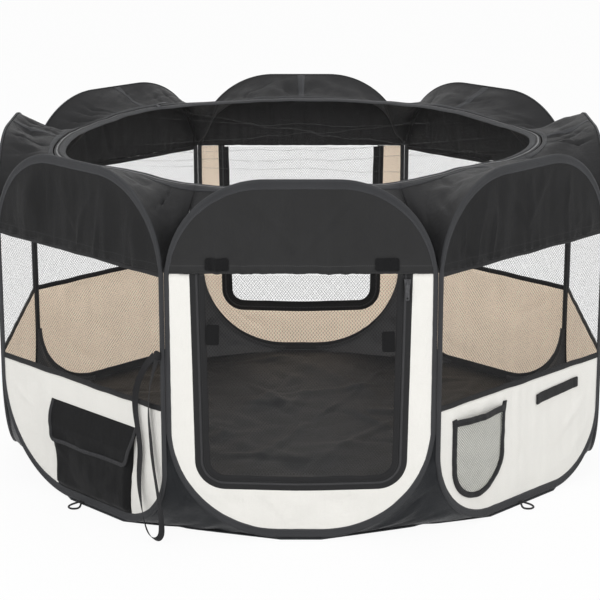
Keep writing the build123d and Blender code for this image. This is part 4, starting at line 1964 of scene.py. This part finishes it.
@dataclass
class BottlePocket(SewnPiece):
    """Half-round pocket of pale net on the front right wall."""

    wall: Wall = Wall.FRONT_RIGHT
    middle: float = -0.1205
    top: float = 0.207
    foot: float = 0.051
    half: float = 0.0690
    root: float = 0.0042             # n of the net's sewn edges

    def build(self) -> None:
        """Make the net, its binding and the mouth tape."""
        self.net()
        self.binding()
        self.mouth()

    def width(self, z: float) -> float:
        """Half the pocket's width at height z."""
        low = max(self.foot + self.half - z, 0.0)
        return math.sqrt(max(self.half ** 2 - low ** 2, 0.0))

    def belly(self, u: float, z: float) -> float:
        """n of the net, standing off the wall between its sewn sides.

        Args:
            u: Place along the wall.
            z: Height.

        Returns:
            The distance n.
        """
        front = 0.0062 + (z - 0.048) * 0.0148 / 0.164        # the CAD pocket's, which leans out upward
        share = min(abs(u - self.middle) / max(self.width(z), 1e-4), 1.0)
        rise = max(1 - share ** 2.4, 0.0) ** 0.8 * smooth((z - self.foot) / 0.02)
        return self.root + 0.55 * (front - self.root) * rise + self.ease(u, z)

    def net(self) -> None:
        """The pocket's net, with a few soft dents."""
        def lift(u: float, z: float) -> float:
            """n of the net."""
            free = smooth((self.width(z) - abs(u - self.middle)) / 0.02)
            return self.belly(u, z) - 0.0016 * free * (0.5 + 0.5 * swell(u, z, 150, 0.045, 0.06))

        def span(z: float) -> Spot:
            """Ends of the net's row at height z, from the pocket's middle."""
            half = self.width(z) - 0.0005
            return -half, half

        piece = Piece("bottle_pocket_net")
        piece.rows(self.wall, self.foot + 0.0015, self.top, span, lift, 36, 34, middle=self.middle)
        made = piece.finish(self.wall.body, "pale_net", [PALE_NET.material], ["bottle_pocket"])

    def binding(self) -> None:
        """Tape round the pocket's sewn side, ending in an ear beyond each end of the mouth."""
        out, shoulder, bend_r = self.half + 0.0015, self.top - 0.016, 0.03
        left, right, foot, r = self.middle - out, self.middle + out, self.foot - 0.0015, out - 1e-5
        route = Route(((left - 0.002, self.top + 0.001, 0), (left, shoulder, bend_r), (left, foot, r),
                       (right, foot, r), (right, shoulder, bend_r), (right + 0.003, self.top + 0.005, 0)))

        def section(share: float) -> list[Spot]:
            """Outline of the tape.

            Args:
                share: Share of the route.

            Returns:
                Points of (inset, n).
            """
            puff = 0.0004 * uneven(share * 40, 5.0, 1.0)
            spot, _ = route.at(share)
            low = 0.0038 + self.ease(spot.x, spot.y)
            out = low + 0.0028 + puff
            return [(0.0, low), (0.0, out - 0.0008), (0.0007, out), (0.0052, out + 0.0006), (0.0100, out),
                    (0.0107, out - 0.0008), (0.0107, low + 0.0002)]

        piece = Piece("bottle_pocket_binding")
        piece.tape(self.wall, route, section, 96)
        piece.finish(self.wall.body, "binding_tape", [TRIM.material], closed=True)

    def mouth(self) -> None:
        """Tape along the pocket's mouth, from one side to the other."""
        piece = Piece("bottle_pocket_mouth")
        outline = ((0.0, 0.0008), (-0.0060, 0.0012), (-0.0112, 0.0008), (-0.0120, 0.0), (-0.0112, -0.0010),
                   (0.0, -0.0010), (0.0006, 0.0))
        ring = len(outline)

        def place(s: float, t: float) -> Corner:
            """One corner of the tape.

            Args:
                s: Share along.
                t: Share around.

            Returns:
                The corner.
            """
            u = self.middle + (2 * s - 1) * (self.half - 0.0008)
            drop, n = outline[round(t * ring) % ring]
            z = self.top + drop - 0.0012 * math.sin(math.pi * s)
            spot = self.wall.point(u, self.belly(u, self.top - 0.002) + n, z)
            return spot, (s * 0.14, min(t, 1 - t) * 0.02)

        piece.tube(place, 44, ring)
        piece.finish(self.wall.body, "binding_tape", [TRIM.material], closed=True)


@dataclass
class WebbingStrip(SewnPiece):
    """Short strip of webbing sewn to the front right wall, its ends turned under."""

    wall: Wall = Wall.FRONT_RIGHT
    middle: float = 0.099
    height: float = 0.1965
    long: float = 0.122
    wide: float = 0.0200

    def build(self) -> None:
        """Make the strip."""
        low, high = self.height - self.wide / 2, self.height + self.wide / 2

        def lift(u: float, z: float) -> float:
            """n of the strip, thicker over its turned ends.

            Args:
                u: Place along the wall.
                z: Height.

            Returns:
                The distance n.
            """
            end = smooth((abs(u - self.middle) - self.long / 2 + 0.011) / 0.002)
            edge = smooth(min(z - low, high - z) / 0.0012)
            return FACE_N + self.ease(u, z) + 0.0019 + 0.0006 * end + 0.0005 * edge

        piece = Piece("webbing_strip_weave")
        ends = rounded(low, high, self.long / 2, 0.0015)
        piece.rows(self.wall, low, high, ends, lift, 60, 12, middle=self.middle, tilt=3.5)
        piece.finish(self.wall.body, "webbing", [STRAP.material], ["webbing_strip"], 0.0017)


@dataclass
class TieRibbon:
    """Flat ribbon that hangs as one long loop from a knot at the front left corner."""

    wall: Wall = Wall.FRONT_LEFT
    wide: float = 0.0110
    thick: float = 0.0007
    knot: tuple[float, float, float] = (0.221, 0.0095, 0.334)        # u, n and z
    # The loop from end to end: u, n and z in millimetres.
    route: tuple[tuple[float, float, float], ...] = (
        (219, 9.5, 327), (214, 10.5, 309), (205, 11.5, 285), (199, 12, 252), (198, 12, 217), (202, 12, 184),
        (206, 13, 153), (213, 14.5, 122), (223, 17, 92), (233, 20, 64), (240, 23, 38), (243, 26, 16),
        (233, 30, 6), (213, 29.5, 10), (195, 24, 27), (182, 19, 53), (172, 15, 84), (170.5, 12.5, 117),
        (174.5, 12, 150), (170.5, 12, 184), (163.5, 12, 216), (162.5, 12, 246), (171, 11.5, 276),
        (186, 10.5, 302), (201, 9.8, 321), (214, 9.5, 333))

    def build(self) -> None:
        """Make the knot and the loop."""
        knot = self.knot_cloth()
        line = spline_line([self.wall.point(u / 1000, n / 1000, z / 1000) for u, n, z in self.route], 6)
        piece = Piece("tie_ribbon_loop")
        lengths = [0.0, *accumulate((b - a).length for a, b in zip(line, line[1:]))]
        outline = ((-0.5, -0.5), (-0.5, 0.5), (0.0, 0.8), (0.5, 0.5), (0.5, -0.5), (0.0, -0.2))
        ring = len(outline)

        def place(s: float, t: float) -> Corner:
            """One corner of the ribbon.

            Args:
                s: Share along.
                t: Share around.

            Returns:
                The corner.
            """
            i = round(s * (len(line) - 1))
            way, face, run = heading(line, i), self.wall.outward(), lengths[i]
            twist = Matrix.Rotation(0.55 * math.sin(run * 13) + 0.25 * math.sin(run * 31), 3, way)
            side, up = twist @ way.cross(face).normalized(), twist @ face
            a, b = outline[round(t * ring) % ring]
            return line[i] + side * a * self.wide + up * b * self.thick, (run, a * self.wide)

        piece.tube(place, len(line) - 1, ring)
        loop = piece.finish(self.wall.body, "webbing", [RIBBON.material], ["tie_ribbon"], closed=True)
        log.info("ribbon length %.3f", lengths[-1])

    def knot_cloth(self) -> bpy.types.Object:
        """The knot that ties the ribbon to the seam."""
        piece, side, deep = Piece("tie_ribbon_knot"), 0.0135, 0.0072
        u, n, z = self.knot
        piece.bm.loops.layers.uv.new(UV)
        bmesh.ops.create_cube(piece.bm, size=1.0, calc_uvs=True)
        bmesh.ops.subdivide_edges(piece.bm, edges=piece.bm.edges[:], cuts=5, use_grid_fill=True)
        for vert in piece.bm.verts:
            ball = vert.co.normalized() * 0.62
            spot = vert.co.lerp(ball, 0.6)
            spot *= 1 + 0.05 * math.sin(spot.x * 9 + spot.z * 7) + 0.06 * noise.noise(spot * 4)
            vert.co = self.wall.point(u + spot.x * side, n - 0.0006 + spot.y * deep, z + spot.z * side)
        for face in piece.bm.faces:
            face.smooth = True
        return piece.finish(self.wall.body, "webbing", [RIBBON.material], closed=True)


# ---- studio -------------------------------------------------------------------------------------
@dataclass
class Studio:
    """Pale floor, soft light and the camera."""

    lens: float = 116.6
    shift: Spot = (-0.0018, -0.0353)
    distance: float = 3.844
    elevation: float = 14.95
    aim: float = 0.32                # height that the camera looks at
    sky: float = 0.73                # the sky's strength where it lights and isn't seen
    ground_z: float = -0.0006
    white: float = 0.93              # share of plain white in the floor where it is seen

    def build(self) -> None:
        """Make the floor, the lights, the world and the camera."""
        self.ground()
        self.world()
        self.lamp("key light", (-1.9, -3.8, 3.0), 2.6, 69.0)
        self.lamp("fill light", (2.9, -3.3, 2.2), 2.6, 44.0)
        self.lamp("top light", (0.3, 0.6, 4.2), 2.4, 16.0)
        self.camera()
        bpy.context.scene.view_settings.view_transform = "Standard"

    def seen(self, tree: bpy.types.NodeTree) -> Socket:
        """1 for a ray that shows the surface itself, straight or in gloss or glass.

        Args:
            tree: The nodes of the material or the sky.

        Returns:
            The socket.
        """
        path = tree.nodes.new("ShaderNodeLightPath")
        found = path.outputs["Is Camera Ray"]
        for name in ("Is Glossy Ray", "Is Transmission Ray"):
            both = tree.nodes.new("ShaderNodeMath")
            both.operation = "MAXIMUM"
            tree.links.new(found, both.inputs[0])
            tree.links.new(path.outputs[name], both.inputs[1])
            found = both.outputs[0]
        return found

    def ground(self) -> None:
        """White floor that keeps a faint shadow."""
        bm = bmesh.new()
        bmesh.ops.create_grid(bm, x_segments=2, y_segments=2, size=14)
        bmesh.ops.translate(bm, verts=bm.verts[:], vec=(0, 0, self.ground_z))
        mesh = bpy.data.meshes.new("studio_floor")
        bm.to_mesh(mesh)
        bm.free()
        floor = bpy.data.objects.new("studio_floor", mesh)
        bpy.context.scene.collection.objects.link(floor)
        look = bpy.data.materials.new("studio white")
        look.use_nodes = True
        tree = look.node_tree
        tree.nodes.clear()
        end, mix = tree.nodes.new("ShaderNodeOutputMaterial"), tree.nodes.new("ShaderNodeMixShader")
        dull, glow = tree.nodes.new("ShaderNodeBsdfDiffuse"), tree.nodes.new("ShaderNodeEmission")
        dull.inputs["Color"].default_value = (0.9, 0.9, 0.9, 1)
        share = tree.nodes.new("ShaderNodeMath")
        share.operation = "MULTIPLY"
        share.inputs[1].default_value = self.white
        tree.links.new(self.seen(tree), share.inputs[0])
        tree.links.new(share.outputs[0], mix.inputs[0])
        tree.links.new(dull.outputs[0], mix.inputs[1])
        tree.links.new(glow.outputs[0], mix.inputs[2])
        tree.links.new(mix.outputs[0], end.inputs["Surface"])
        mesh.materials.append(look)

    def world(self) -> None:
        """White sky: full where it is seen, softer as a light."""
        world = bpy.data.worlds.new("studio sky")
        bpy.context.scene.world = world
        world.use_nodes = True
        tree = world.node_tree
        back = tree.nodes["Background"]
        back.inputs["Color"].default_value = (1, 1, 1, 1)
        level = tree.nodes.new("ShaderNodeMapRange")
        tree.links.new(self.seen(tree), level.inputs["Value"])
        level.inputs["To Min"].default_value = self.sky
        level.inputs["To Max"].default_value = 1.0
        tree.links.new(level.outputs[0], back.inputs["Strength"])

    def lamp(self, name: str, place: tuple[float, float, float], size: float, power: float) -> None:
        """One soft square light aimed at the pen.

        Args:
            name: Name of the light.
            place: Where it hangs.
            size: Its side.
            power: Its power in watts.
        """
        data = bpy.data.lights.new(name, "AREA")
        data.shape, data.size, data.energy = "SQUARE", size, power
        lamp = bpy.data.objects.new(name, data)
        bpy.context.scene.collection.objects.link(lamp)
        lamp.location = place
        lamp.rotation_mode = "QUATERNION"
        lamp.rotation_quaternion = (Vector((0, 0, 0.3)) - lamp.location).to_track_quat("-Z", "Y")

    def camera(self) -> None:
        """Camera in front of the pen, a little above it."""
        data = bpy.data.cameras.new("camera")
        data.lens, data.sensor_width = self.lens, 36.0
        data.shift_x, data.shift_y = self.shift
        data.clip_end = 100.0
        camera = bpy.data.objects.new("camera", data)
        bpy.context.scene.collection.objects.link(camera)
        tilt = math.radians(self.elevation)
        back = Vector((0, -math.cos(tilt), math.sin(tilt)))
        camera.location = Vector((0, 0, self.aim)) + back * self.distance
        camera.rotation_mode = "QUATERNION"
        camera.rotation_quaternion = (-back).to_track_quat("-Z", "Y")
        bpy.context.scene.camera = camera


def main() -> None:
    """Build the pen, its trims and the studio."""
    logging.basicConfig(level=logging.INFO, format="%(name)s: %(message)s")
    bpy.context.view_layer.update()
    parts = [DoorWall(wall) if wall.has_door else SprungWall(wall) for wall in Wall]
    parts += [Floor(), Roof(), BellowsPocket(), PocketFlap(), BottlePocket(), WebbingStrip(), TieRibbon(),
              Studio()]
    for part in parts:
        part.build()
        log.info("built %s", type(part).__name__)


if __name__ == "__main__":
    main()
